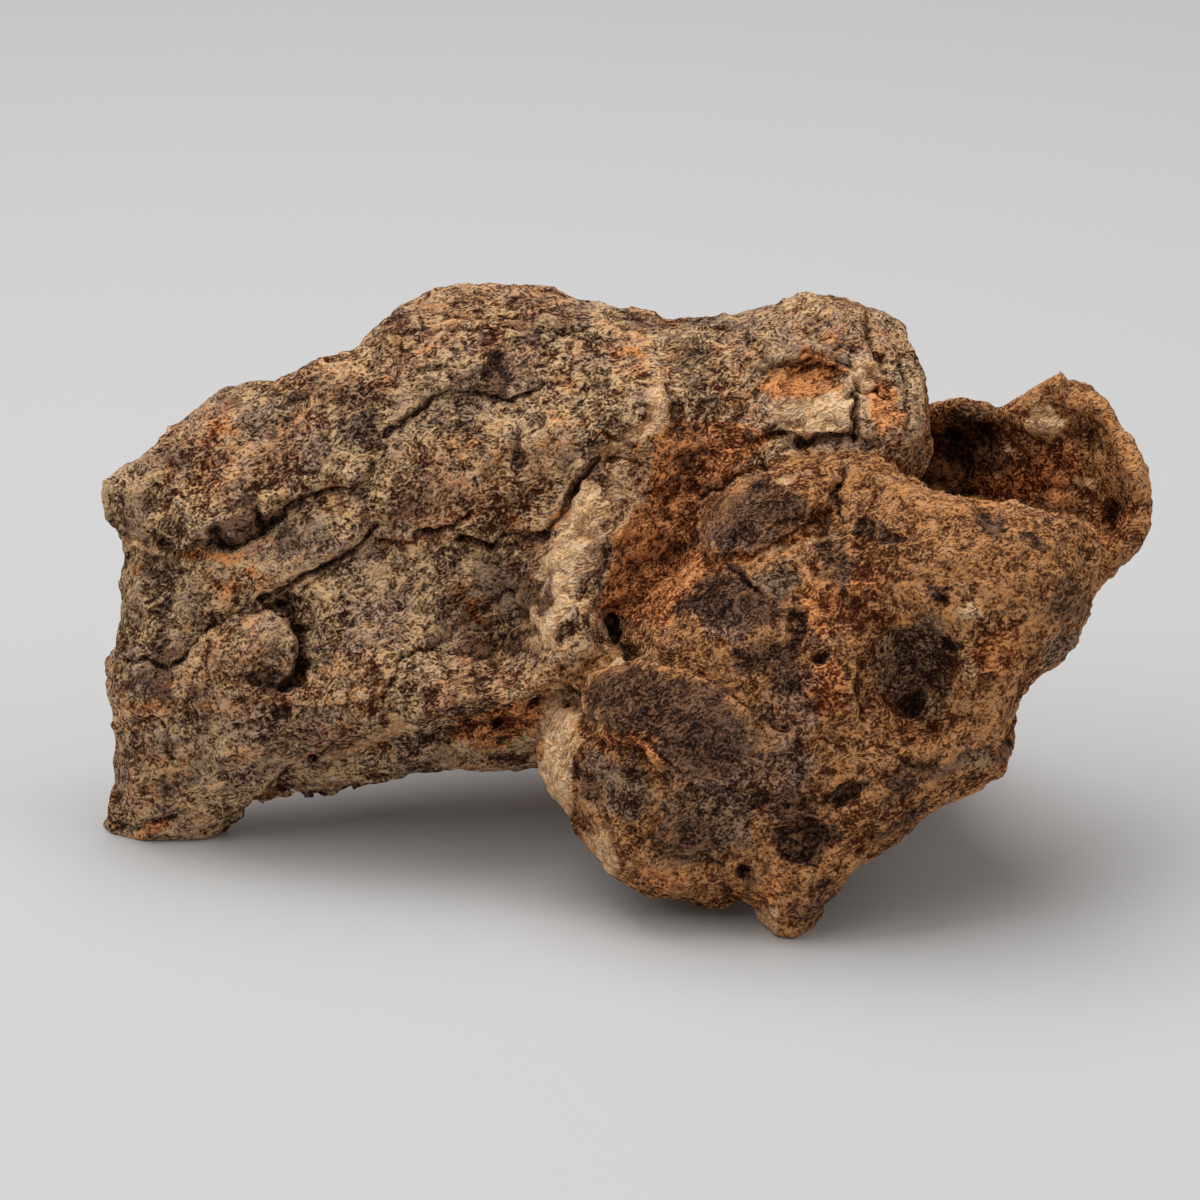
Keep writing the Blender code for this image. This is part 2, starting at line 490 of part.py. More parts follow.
def broken(points, normals, away, rng):
    """Breaks the far side into flat faces. Each cuts off what stands beyond a tilted plane near its seat."""
    for seat in rng.choice(np.flatnonzero(away > 0.5), BROKEN_FACES, replace=False):
        facing = normals[seat] + rng.uniform(-FACE_TILT, FACE_TILT, 3)
        facing /= np.linalg.norm(facing)
        offset = points - points[seat]
        near = smooth(FACE_RIM - FACE_RIM * np.linalg.norm(offset, axis=1) / (rng.uniform(*FACE_REACH) * MM))
        beyond = np.clip(offset @ facing + rng.uniform(*FACE_BITE) * MM, 0.0, FACE_DEEPEST * MM)
        same_side = smooth(2.0 * (normals @ facing))
        points = points - (beyond * near * same_side * away)[:, None] * facing
    return points


def thumbprints(points, away, rng):
    """Depth of shallow round hollows, as air carves in hot iron, over the far side."""
    depth = np.zeros(len(points))
    for seat in rng.choice(np.flatnonzero(away > 0.5), THUMBPRINTS, replace=False):
        reach = np.linalg.norm(points - points[seat], axis=1) / (rng.uniform(*PRINT_RADIUS) * MM)
        depth = np.maximum(depth, rng.uniform(*PRINT_DEPTH) * smooth(1.0 - reach))
    return depth * away


def weathered(mesh):
    """Moves the fused mesh's points: ledges, ridges and pits in front, broken faces behind, and rough all over."""
    rng = np.random.default_rng(SEED)
    points, normals = points_of(mesh), normals_of(mesh)
    places = faceted(to_sheet(points))
    points = to_world(places)
    viewer = np.array([0.0, -math.cos(LEAN), math.sin(LEAN)])
    facing = normals @ viewer
    relief = np.zeros(len(points))
    for ledge in LEDGES.values():
        relief += ledge_depth(ledge, places)
    for ridge in RIDGES.values():
        relief += ridge_height(ridge, places)
    for dome in DOMES.values():
        relief += dome_height(dome, places)
    relief *= smooth((facing - SHOWN_FROM) / SHOWN_TURN)
    away = smooth(-facing / AWAY_TURN)
    points = points + (relief * MM)[:, None] * (viewer + normals) / 2.0
    points = broken(points, normals, away, rng)
    rough = roughness(points) - thumbprints(points, away, rng)
    points = points + (rough * MM)[:, None] * normals
    mesh.vertices.foreach_set("co", points.astype(np.float32).ravel())
    mesh.update()
    return mesh


def stand_flat(mesh):
    """Wears the standing points flat on the ground plane."""
    shape = bmesh.new()
    shape.from_mesh(mesh)
    geometry = shape.verts[:] + shape.edges[:] + shape.faces[:]
    bmesh.ops.bisect_plane(shape, geom=geometry, dist=1e-6, plane_co=(0, 0, 0), plane_no=(0, 0, 1), clear_inner=True)
    rims = [edge for edge in shape.edges if edge.is_boundary]
    bmesh.ops.triangle_fill(shape, edges=rims, use_beauty=True, normal=(0, 0, -1))
    bmesh.ops.recalc_face_normals(shape, faces=shape.faces)
    bmesh.ops.triangulate(shape, faces=shape.faces)
    shape.to_mesh(mesh)
    shape.free()
    return mesh


def crust_material():
    """Rust crust on iron, dull and brown."""
    material = bpy.data.materials.new("rusted iron crust")
    material.use_nodes = True
    shader = material.node_tree.nodes["Principled BSDF"]
    shader.inputs["Base Color"].default_value = CRUST_COLOUR
    shader.inputs["Roughness"].default_value = 0.85
    shader.inputs["Metallic"].default_value = 0.0
    return material


def main():
    for obj in list(bpy.data.objects):
        bpy.data.objects.remove(obj)
    mesh = weathered(fused_lobes())
    share = MOST_TRIANGLES / (2 * len(mesh.polygons))
    mesh = worked(mesh, ("DECIMATE", {"ratio": share, "use_collapse_triangulate": True}))
    mesh = stand_flat(mesh)
    mesh.name = "meteorite"
    mesh.materials.append(crust_material())
    stone = bpy.data.objects.new("meteorite", mesh)
    bpy.context.scene.collection.objects.link(stone)


main()
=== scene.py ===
"""The looks of a weathered iron meteorite: its rusted, gritty crust in full relief, and its pale sweep.

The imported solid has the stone's lumps, ledges and pits. This script remeshes a copy of it finely, flattens
it into break faces, sharpens its cracks, steps and pits, roughens it, and paints where each kind of crust
lies. Places on the stone are given as on the solid's own drawing sheet: (across, up, out) in millimetres
from the stone's lowest tip, on a sheet that leans back from upright by LEAN. The side that the sheet
doesn't show is weathered by rule.

Run it with: blender --background --python scene.py
"""

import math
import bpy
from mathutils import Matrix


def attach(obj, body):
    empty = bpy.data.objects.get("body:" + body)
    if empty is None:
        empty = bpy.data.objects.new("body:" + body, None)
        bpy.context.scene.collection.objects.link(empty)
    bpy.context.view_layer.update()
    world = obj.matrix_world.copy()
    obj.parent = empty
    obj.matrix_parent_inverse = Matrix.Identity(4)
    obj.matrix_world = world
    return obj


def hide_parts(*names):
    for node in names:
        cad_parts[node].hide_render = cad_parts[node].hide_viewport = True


bl_info = {
    "name": "Weathered Iron Meteorite",
    "version": (1, 0, 0),
    "blender": (4, 5, 0),
    "location": "View3D > Sidebar > Meteorite",
    "description": "Carves and colours the rusted crust of an iron meteorite and sets up its studio stage",
    "category": "Object",
}

from typing import NamedTuple

import bmesh
import bpy
import numpy as np
from mathutils import Vector, kdtree, noise

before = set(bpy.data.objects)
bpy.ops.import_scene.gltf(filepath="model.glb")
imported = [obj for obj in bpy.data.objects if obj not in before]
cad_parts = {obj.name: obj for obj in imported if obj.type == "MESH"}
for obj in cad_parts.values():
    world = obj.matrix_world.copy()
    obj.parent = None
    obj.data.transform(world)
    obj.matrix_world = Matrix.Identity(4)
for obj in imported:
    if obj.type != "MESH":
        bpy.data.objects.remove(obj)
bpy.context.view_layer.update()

MM = 0.001

# The drawing sheet, as in the solid's source
LEAN = math.radians(20.0)
SIGHT = 500.0
SIGHT_ACROSS, SIGHT_UP = -2.4, 27.6
MIDDLE_X, MIDDLE_Y = -1.0, 24.2
BLUNT_Z = 0.12
VIEWER = np.array([0.0, -math.cos(LEAN), math.sin(LEAN)])

FRAME_WIDTH = 96.0  # what the camera takes in at the sheet, in millimetres
SHOWN_FROM, SHOWN_FADE = -0.05, 0.3  # how far a face must turn to the viewer to belong to the shown side
ZONE_FADE, HORN_FADE = 1.2, 1.6  # width over which the zones of the crust blend, in millimetres

# Break faces: the most that is chipped off or filled, and how far their edges stray, in millimetres
DEEPEST_CHIP, EDGE_STRAY, EDGE_LUMPS = 0.6 * MM, 0.35 * MM, 1.6
THIN_EDGE, SOUND_FACE = 0.6, 0.85  # how alike a face's normals are on a thin edge and on a sound face
CREASE = 0.12  # width of the crease between two break faces, as a share of their own width
FACE_TURN, FACE_FADE = 0.4, 0.4  # how squarely a spot must face with its break face to be flattened

# Height and width of the marks as shares of what is drawn, so that they read through the grit
STEP_GAIN, SPINE_GAIN, PIT_GAIN = 1.5, 1.1, 1.4
CRACK_SPREAD, SPINE_SPREAD, STREAK_SPREAD = 0.9, 1.6, 1.5
BRINK_START, BRINK_WIDTH, STEP_END = -0.15, 0.35, 2.0  # where a step's drop begins, and how its ends fade
LINE_STRAY, PATCH_STRAY = (0.35, 0.2), (0.9, 0.45)  # how far lines and patches stray, broadly and finely
PLANED_EDGE, PANEL_EDGE = 0.8, 2.4  # width over which a panel's smoothness and its colour fade out
PIT_DARKNESS, VALLEY_RUST = 0.8, 0.8
REST_HEIGHT = 0.8 * MM  # the resting faces keep the solid's shape, and the relief grows over this height
TALLEST_SPUR, SPUR_ROUNDS = 0.18, 6  # a point that stands out by more than this is pulled back
SUNK_ROUNDS, SUNK_DEPTH = 4, 0.12  # narrow hollows, and the span from a raised spot to a fully sunk one
DEEP_ROUNDS, DEEP_DEPTH = 60, 0.8  # the same for broad hollows

FLOW = "flow"  # places along, across and through the flow of the metal, in millimetres
FLOW_CLIMB = math.radians(24.0)
GRAIN_STRETCH = 1.5  # the grains are this many times as long as wide
KINDS = ("soil", "rust", "cream", "dark", "violet", "slate", "grain", "sunk", "deep")


class Crack(NamedTuple):
    """A narrow groove along a line on the sheet."""

    path: list
    depth: float
    half_width: float


class Step(NamedTuple):
    """A sharp drop along a line. The low ground is on the right of the line as it is walked."""

    path: list
    drop: float
    fade: float


class Spine(NamedTuple):
    """A raised line."""

    path: list
    height: float
    half_width: float


class Pit(NamedTuple):
    """An oval dent with a floor. Its long axis is turned up from across."""

    centre: tuple
    long: float
    short: float
    turn: float
    depth: float


class Patch(NamedTuple):
    """An oval of one kind of crust."""

    centre: tuple
    long: float
    short: float
    share: float
    turn: float = 0.0


class Streak(NamedTuple):
    """A line of one kind of crust."""

    path: list
    half_width: float
    share: float


class Panel(NamedTuple):
    """A many-sided facet of one kind of crust, planed smooth."""

    kind: str
    edge: list
    share: float


class Lumps(NamedTuple):
    """The width of a cloud's lumps in millimetres, its own seed, and how many octaves it has."""

    width: float
    seed: float
    octaves: int = 1


class Relief(NamedTuple):
    """The height in millimetres of one kind of roughness on the slab and on the prow."""

    slab: float
    prow: float


class Scatter(NamedTuple):
    """How one kind of crust lies by rule: its lumps, how common it is, and its share on either side."""

    lumps: Lumps
    bias: float
    hidden: float
    shown: float


CLOUDS = {
    "hidden prow": Lumps(14.0, 3.0),
    "swell": Lumps(5.0, 31.0),
    "streaks": Lumps(1.5, 21.0, 2),
    "flakes": Lumps(0.9, 22.0, 2),
    "grit": Lumps(0.62, 35.0),
    "soil": Lumps(6.0, 41.0, 2),
    "density": Lumps(5.0, 47.0, 2),
}
CRUMBS = [
    (1.0, Lumps(3.0, 32.0)), (0.65, Lumps(1.6, 33.0)), (0.4, Lumps(0.9, 34.0)), (0.25, Lumps(0.6, 38.0)),
]
PITTED = Lumps(2.6, 36.0)
STREAK_STRETCH, FLAKE_STRETCH = 4.0, 1.8

RELIEF = {
    "streaks": Relief(0.06, 0.0),
    "flakes": Relief(0.08, 0.05),
    "swell": Relief(0.06, 0.06),
    "grit": Relief(0.08, 0.08),
    "crumbs": Relief(0.12, 0.23),
    "pitted": Relief(0.0, -0.12),
}
VALLEY_SLAB, VALLEY_PROW = 0.4, 0.9  # the valley has some of the slab's relief and most of the prow's
PLANED_AWAY = 0.6  # how much of the relief is worn off a planed panel

SCATTERED = {
    "rust": Scatter(Lumps(7.0, 42.0, 3), 0.0, 0.42, 0.3),
    "dark": Scatter(Lumps(5.0, 43.0, 3), -0.25, 0.4, 0.35),
    "violet": Scatter(Lumps(4.0, 44.0, 3), -0.1, 0.5, 0.45),
    "slate": Scatter(Lumps(4.5, 45.0, 3), -0.25, 0.4, 0.35),
    "cream": Scatter(Lumps(5.0, 46.0, 3), -0.6, 0.35, 0.2),
}

# The coats from the bottom up, and how well each covers what is under it
COATS = {"soil": 0.95, "violet": 0.8, "slate": 0.8, "rust": 0.95, "cream": 1.0, "dark": 0.9}

# Where a coat starts and where it is whole, in the sum of its share and of the cloud that tears its edges
COAT_TEAR, COAT_STARTS, COAT_WHOLE = 0.9, 0.62, 1.02

# What each part adds to the pattern of the grains, and between which sums the dark tone turns to the light
# The sunk part darkens the grains in narrow hollows: painted shade
GRAIN_PARTS = {"curl": 0.24, "dust": 1.5, "clump": 0.8, "tone": 1.3, "grain": 0.4, "sunk": -0.25}
ALL_DARK, ALL_LIGHT = 1.3, 2.2
STAIN_STARTS, STAIN_WHOLE = 0.42, 0.62  # where in its cloud the ochre stain starts and is whole
PAINTED_SHADE_STARTS, PAINTED_SHADE_DARKEST = 0.6, 0.6  # how sunk a spot is where the painted shade begins, and how dark the painted shade gets
DULL, WORN = 0.9, 0.6  # roughness of the crust, and of black oxide
GRAIN_HEIGHT = 0.08 * MM  # how far the grains stand out, in shading only


# The prow and the horn, whose crust is soil and dull rust, not grains
PROW_EDGE = [
    (-6.8, 20.4), (-3.6, 22.6), (-1.4, 24.4), (0.4, 26.6), (3.6, 31.0), (5.0, 35.4), (8.8, 38.0),
    (14.0, 39.6), (20.0, 39.4), (28.0, 36.0), (37.0, 34.0), (38.5, 31.0), (37.5, 24.0), (32.5, 19.0),
    (31.0, 12.5), (24.0, 9.5), (18.0, 3.0), (12.8, -2.0), (5.0, 0.0), (-4.0, 4.0), (-8.0, 12.0),
]
HORN_EDGE = [(23.6, 47.0), (23.2, 40.0), (26.0, 36.4), (37.0, 33.6), (38.0, 26.0), (45.0, 30.0), (43.0, 48.0)]
VALLEY_EDGE = [
    (-2.4, 27.0), (-1.6, 30.4), (-0.4, 33.2), (1.6, 35.6), (1.8, 40.4), (3.6, 42.0), (9.0, 41.8),
    (11.6, 40.6), (9.0, 38.6), (5.4, 36.6), (4.8, 33.2), (7.2, 30.6), (4.4, 28.6), (0.8, 25.6),
]

STEPS = {
    "slab lip": Step(
        [(-41.5, 31.8), (-37.2, 31.2), (-34.4, 31.9), (-31.2, 32.6), (-29.4, 33.7), (-28.0, 34.5),
         (-26.4, 35.6), (-24.8, 36.2), (-22.8, 36.6), (-21.2, 37.2), (-20.4, 38.6)], 0.5, 2.2),
    "middle crack": Step(
        [(-29.6, 27.4), (-27.6, 28.4), (-26.4, 29.0), (-24.8, 30.0), (-23.6, 30.8), (-22.4, 31.4),
         (-21.2, 32.4)], 0.3, 2.0),
    "fault": Step(
        [(-13.6, 32.4), (-11.2, 31.9), (-10.4, 32.6), (-7.2, 32.8), (-5.6, 34.4), (-4.6, 36.2), (-3.2, 38.2),
         (-2.4, 39.4)], 0.5, 2.4),
    "upper shelf": Step(
        [(-20.0, 40.8), (-17.4, 42.4), (-16.0, 43.8), (-12.8, 44.2), (-10.0, 43.7), (-6.6, 44.8)], 0.25, 2.4),
    "nub": Step(
        [(-28.0, 20.6), (-26.6, 21.6), (-26.2, 23.6), (-26.4, 25.4), (-27.8, 27.0), (-29.4, 26.9),
         (-31.2, 26.4), (-33.6, 25.6), (-35.8, 23.4), (-36.6, 21.2)], 0.3, 1.2),
    "panel top": Step(
        [(12.8, 16.6), (10.4, 18.2), (4.8, 22.4), (0.8, 22.9), (-2.4, 22.5), (-3.8, 21.4)], 0.5, 2.0),
    "panel foot": Step([(-4.6, 20.2), (-3.2, 18.5), (-2.2, 17.5), (0.4, 16.2), (2.2, 14.4)], 0.6, 2.4),
    "lens foot": Step(
        [(5.0, 32.0), (6.6, 30.9), (9.2, 31.4), (11.6, 32.5), (13.8, 33.8), (15.4, 36.0)], 0.5, 2.2),
    "lens crown": Step([(14.4, 38.8), (12.0, 38.6), (9.0, 37.6), (7.0, 36.4), (5.2, 35.2)], 0.5, 1.8),
    "block foot": Step([(9.6, 40.6), (13.0, 41.0), (16.0, 40.6), (18.4, 40.4)], 0.5, 1.6),
    "rust hollow brow": Step([(11.0, 46.2), (13.2, 46.8), (16.2, 46.4), (17.8, 45.2)], 0.6, 1.8),
    "valley rim": Step(
        [(0.8, 35.2), (-0.4, 34.0), (-1.2, 32.8), (-1.5, 31.6), (-2.0, 29.6), (-2.4, 27.8)], 0.5, 2.0),
    "shoulder rim": Step([(35.4, 34.2), (30.0, 35.2), (26.0, 36.2), (22.6, 37.2), (20.4, 39.0)], 0.4, 1.6),
    "lower lip": Step([(-18.8, 17.0), (-14.6, 17.4), (-10.4, 18.2), (-7.2, 19.6)], 0.4, 2.6),
    "bowl foot": Step([(26.6, 17.4), (22.0, 15.6), (18.8, 13.8), (16.2, 11.6), (11.0, 10.4)], 0.4, 2.4),
}

CRACKS = {
    "notch": Crack([(-37.6, 32.6), (-36.9, 31.6), (-36.1, 30.9)], 1.2, 0.55),
    "lip undercut": Crack(
        [(-34.6, 32.0), (-31.2, 32.4), (-29.4, 33.6), (-28.0, 34.4), (-26.4, 35.4)], 1.1, 0.5),
    "lip end": Crack([(-26.4, 35.5), (-24.8, 36.1), (-22.8, 36.5), (-21.2, 37.1), (-20.4, 38.6)], 0.6, 0.35),
    "middle": Crack(
        [(-29.4, 27.6), (-27.6, 28.4), (-26.4, 29.0), (-24.8, 30.0), (-23.6, 30.8), (-22.4, 31.4),
         (-21.2, 32.4), (-20.6, 33.2)], 0.9, 0.4),
    "middle echo": Crack(
        [(-26.4, 27.6), (-25.6, 28.6), (-24.4, 29.6), (-23.2, 30.4), (-22.0, 31.0)], 0.4, 0.3),
    "bead": Crack(
        [(-20.0, 32.0), (-18.4, 31.8), (-17.4, 32.4), (-16.8, 33.2), (-15.2, 33.2), (-14.2, 33.4),
         (-13.6, 34.0), (-12.8, 34.8)], 0.8, 0.35),
    "fault": Crack(
        [(-13.6, 32.4), (-12.4, 32.0), (-11.2, 31.8), (-10.4, 32.8), (-8.8, 32.6), (-7.2, 32.8), (-6.6, 33.4),
         (-5.6, 34.4), (-5.0, 35.6), (-4.4, 36.4), (-4.0, 37.2), (-3.2, 38.2), (-2.6, 39.2)], 1.2, 0.5),
    "shelf": Crack(
        [(-20.0, 40.8), (-18.4, 41.7), (-17.4, 42.4), (-16.4, 43.0), (-16.0, 43.8), (-14.8, 44.2),
         (-12.8, 44.2), (-10.0, 43.6), (-8.8, 44.0), (-6.6, 44.8)], 0.7, 0.35),
    "nub moat": Crack(
        [(-28.0, 27.0), (-27.0, 26.4), (-26.4, 25.2), (-26.1, 24.0), (-26.2, 22.4), (-26.6, 21.6),
         (-27.6, 20.8)], 1.5, 0.6),
    "nub brow": Crack(
        [(-36.6, 21.2), (-36.4, 22.4), (-35.8, 23.2), (-34.4, 24.6), (-33.6, 25.6), (-31.2, 26.4),
         (-28.4, 27.2)], 0.5, 0.4),
    "left seam": Crack([(-40.6, 22.9), (-38.6, 22.7), (-37.0, 22.1)], 0.6, 0.4),
    "foot": Crack([(-39.9, 17.4), (-38.8, 17.8), (-37.8, 18.2), (-37.0, 16.6)], 0.5, 0.3),
    "knee": Crack([(-31.4, 17.5), (-29.2, 18.2), (-27.4, 18.2)], 0.5, 0.3),
    "sole": Crack([(-41.4, 9.7), (-39.0, 9.5), (-36.4, 9.9)], 0.5, 0.4),
    "bedding high": Crack([(-20.8, 50.1), (-15.0, 50.6), (-8.0, 50.0)], 0.3, 0.3),
    "bedding low": Crack([(-20.6, 48.8), (-14.0, 49.4), (-6.4, 49.0), (0.0, 48.6)], 0.3, 0.3),
    "brow fold": Crack([(-17.2, 45.8), (-14.6, 46.2), (-12.0, 46.6), (-10.4, 47.8)], 0.35, 0.4),
    "block upright": Crack([(17.9, 43.7), (17.7, 42.2), (18.0, 40.4)], 1.2, 0.4),
    "block level": Crack([(13.4, 40.6), (15.8, 40.7), (18.2, 40.5)], 1.0, 0.4),
    "block curve": Crack([(17.0, 43.8), (18.4, 44.3), (19.6, 44.2), (20.8, 43.7)], 0.8, 0.35),
    "pillar": Crack([(18.8, 50.2), (19.2, 48.8), (20.0, 47.4), (20.2, 46.0)], 0.9, 0.5),
    "block side": Crack([(21.8, 46.6), (22.4, 44.0), (22.2, 41.6)], 0.5, 0.4),
    "cap seam": Crack([(11.4, 46.4), (13.6, 47.2), (16.0, 47.0), (18.0, 46.2)], 0.5, 0.4),
    "lens crown": Crack([(5.6, 35.8), (7.2, 36.6), (8.8, 37.6), (10.4, 38.3), (12.4, 38.8)], 0.6, 0.35),
    "lens side": Crack([(16.8, 38.0), (16.4, 36.0), (16.9, 34.0)], 0.7, 0.4),
    "slot": Crack([(-1.4, 26.2), (-0.9, 24.8), (-0.3, 23.4)], 1.6, 0.6),
    "slit": Crack([(8.2, 30.1), (9.2, 29.2), (10.4, 28.3)], 0.7, 0.45),
    "cheek": Crack([(8.8, 19.8), (9.8, 18.6), (10.6, 17.2)], 0.6, 0.35),
    "panel": Crack([(-2.2, 17.6), (0.0, 16.8), (1.6, 16.0), (3.4, 14.2), (5.6, 12.4)], 0.5, 0.35),
    "fold": Crack([(-19.6, 19.8), (-18.4, 22.8), (-15.0, 24.4), (-11.2, 27.4), (-9.2, 28.6)], 0.5, 0.5),
    "red upper": Crack([(-2.4, 41.2), (-0.8, 40.4), (0.6, 39.4)], 0.5, 0.3),
    "red lower": Crack([(-1.6, 38.8), (0.4, 38.6)], 0.4, 0.3),
    "strip": Crack([(-0.4, 49.4), (3.0, 49.2), (8.0, 49.2)], 0.4, 0.35),
    "chin seam": Crack([(9.0, 3.4), (9.6, 2.2), (10.2, 1.0)], 0.6, 0.4),
}

SPINES = {
    "lip crest": Spine(
        [(-34.6, 33.0), (-31.4, 34.0), (-29.0, 35.2), (-26.4, 36.6), (-22.8, 37.6)], 0.35, 0.8),
    "vein": Spine(
        [(-6.8, 24.4), (-6.6, 26.4), (-6.0, 28.4), (-5.8, 30.4), (-5.4, 32.0), (-4.6, 33.4), (-3.8, 34.8)],
         0.5, 0.9),
    "vein top": Spine([(2.0, 44.6), (2.6, 43.0), (2.2, 41.4), (1.2, 39.8)], 0.7, 0.8),
    "valley shelf": Spine([(-3.2, 36.8), (-2.4, 34.8), (-2.4, 32.4), (-2.8, 30.0), (-3.2, 27.6)], 0.4, 0.8),
    "nub crest": Spine([(-34.6, 22.0), (-32.0, 24.6), (-29.0, 25.6)], 0.35, 1.2),
    "sash": Spine([(-12.6, 16.4), (-9.0, 19.0), (-6.2, 21.8), (-3.4, 23.6)], 0.5, 1.2),
    "jaw ridge": Spine([(16.0, 12.6), (18.6, 14.4), (22.0, 15.4), (25.4, 16.2)], 0.5, 1.1),
    "panel ridge": Spine([(-2.4, 17.0), (0.0, 16.6), (1.2, 15.6), (2.4, 14.4), (4.4, 12.6)], 0.5, 0.6),
    "chin ridge": Spine([(-1.8, 11.0), (-0.2, 8.2), (2.4, 6.4)], 0.4, 0.8),
    "chest ridge": Spine([(-12.0, 46.4), (-10.6, 47.8)], 0.4, 0.5),
    "brow ridge": Spine([(-17.2, 46.0), (-15.2, 46.6)], 0.35, 0.5),
    "plateau edge": Spine([(27.0, 26.4), (26.6, 24.4), (27.2, 21.8), (26.4, 19.6)], 0.5, 0.9),
    "horn rim": Spine([(34.2, 44.8), (37.2, 43.0), (39.4, 40.0), (40.2, 36.6)], 0.4, 0.9),
}

PITS = {
    "upper pit": Pit((18.8, 32.9), 1.3, 0.95, 75.0, 0.5),
    "upper right pit": Pit((20.9, 32.9), 0.8, 0.65, 0.0, 0.4),
    "shoulder pit": Pit((29.3, 33.2), 1.6, 0.9, -35.0, 0.3),
    "shoulder dot": Pit((32.4, 32.6), 0.6, 0.5, 0.0, 0.4),
    "slope pit": Pit((13.4, 25.6), 0.8, 1.2, 0.0, 0.5),
    "lower slope pit": Pit((12.6, 23.6), 1.4, 0.9, 20.0, 0.5),
    "slope dot": Pit((15.0, 22.8), 0.5, 0.45, 0.0, 0.5),
    "bowl black": Pit((22.2, 19.2), 1.2, 0.9, 30.0, 0.5),
    "bowl right": Pit((26.0, 24.0), 0.8, 0.6, 0.0, 0.4),
    "bowl top": Pit((25.2, 27.2), 0.6, 0.45, 20.0, 0.4),
    "tip pit": Pit((13.8, 8.2), 2.4, 1.8, 15.0, 0.6),
    "jaw pit": Pit((17.3, 11.9), 1.2, 1.0, 30.0, 0.6),
    "small hole": Pit((9.0, 5.8), 0.7, 0.6, 0.0, 0.7),
    "lip hole": Pit((-10.4, 17.6), 0.7, 0.4, 20.0, 0.8),
    "lip hole left": Pit((-13.2, 18.2), 0.5, 0.4, 0.0, 0.7),
    "lip hole right": Pit((-8.0, 19.2), 0.6, 0.4, 20.0, 0.8),
    "knee hole": Pit((-25.2, 14.8), 0.4, 0.35, 0.0, 0.7),
    "vein hole": Pit((-4.6, 19.6), 0.5, 0.8, 0.0, 0.7),
    "overhang left": Pit((-32.9, 33.0), 0.5, 0.6, 0.0, 0.8),
    "overhang right": Pit((-29.8, 34.0), 0.4, 0.6, 0.0, 0.8),
    "nub dent": Pit((-29.4, 21.6), 1.6, 0.8, 10.0, 0.4),
    "belly dent": Pit((-9.0, 38.8), 0.8, 1.5, 0.0, 0.3),
    "brow dent": Pit((-10.6, 45.4), 1.2, 1.6, -20.0, 0.3),
}

PANELS = {
    "cheek": Panel(
        "dark", [(-3.6, 21.4), (-2.2, 22.2), (0.8, 22.5), (4.8, 21.9), (10.2, 17.8), (11.8, 16.8),
         (9.4, 14.4), (6.6, 12.6), (4.6, 13.4), (1.8, 15.8), (0.0, 16.9), (-2.2, 17.9), (-3.2, 19.6)], 0.6),
    "chin": Panel(
        "slate", [(-3.4, 15.8), (-1.6, 15.9), (0.8, 14.4), (2.8, 12.4), (1.8, 10.2), (-0.8, 10.4),
         (-3.4, 11.2)], 0.55),
    "lens": Panel(
        "dark", [(5.6, 35.2), (7.2, 36.2), (9.2, 37.4), (11.0, 38.0), (13.4, 37.6), (14.8, 36.0),
         (13.4, 33.6), (11.6, 32.7), (9.2, 31.8), (6.8, 31.2), (5.6, 32.6)], 0.5),
    "grey block": Panel(
        "slate", [(-12.2, 30.4), (-8.6, 30.4), (-7.8, 28.6), (-8.6, 26.4), (-11.8, 26.6)], 0.75),
    "bowl": Panel(
        "slate", [(20.2, 25.6), (23.6, 26.4), (26.0, 24.6), (26.2, 21.6), (25.2, 18.4), (21.8, 17.8),
         (19.8, 20.0), (19.2, 23.0)], 0.5),
}

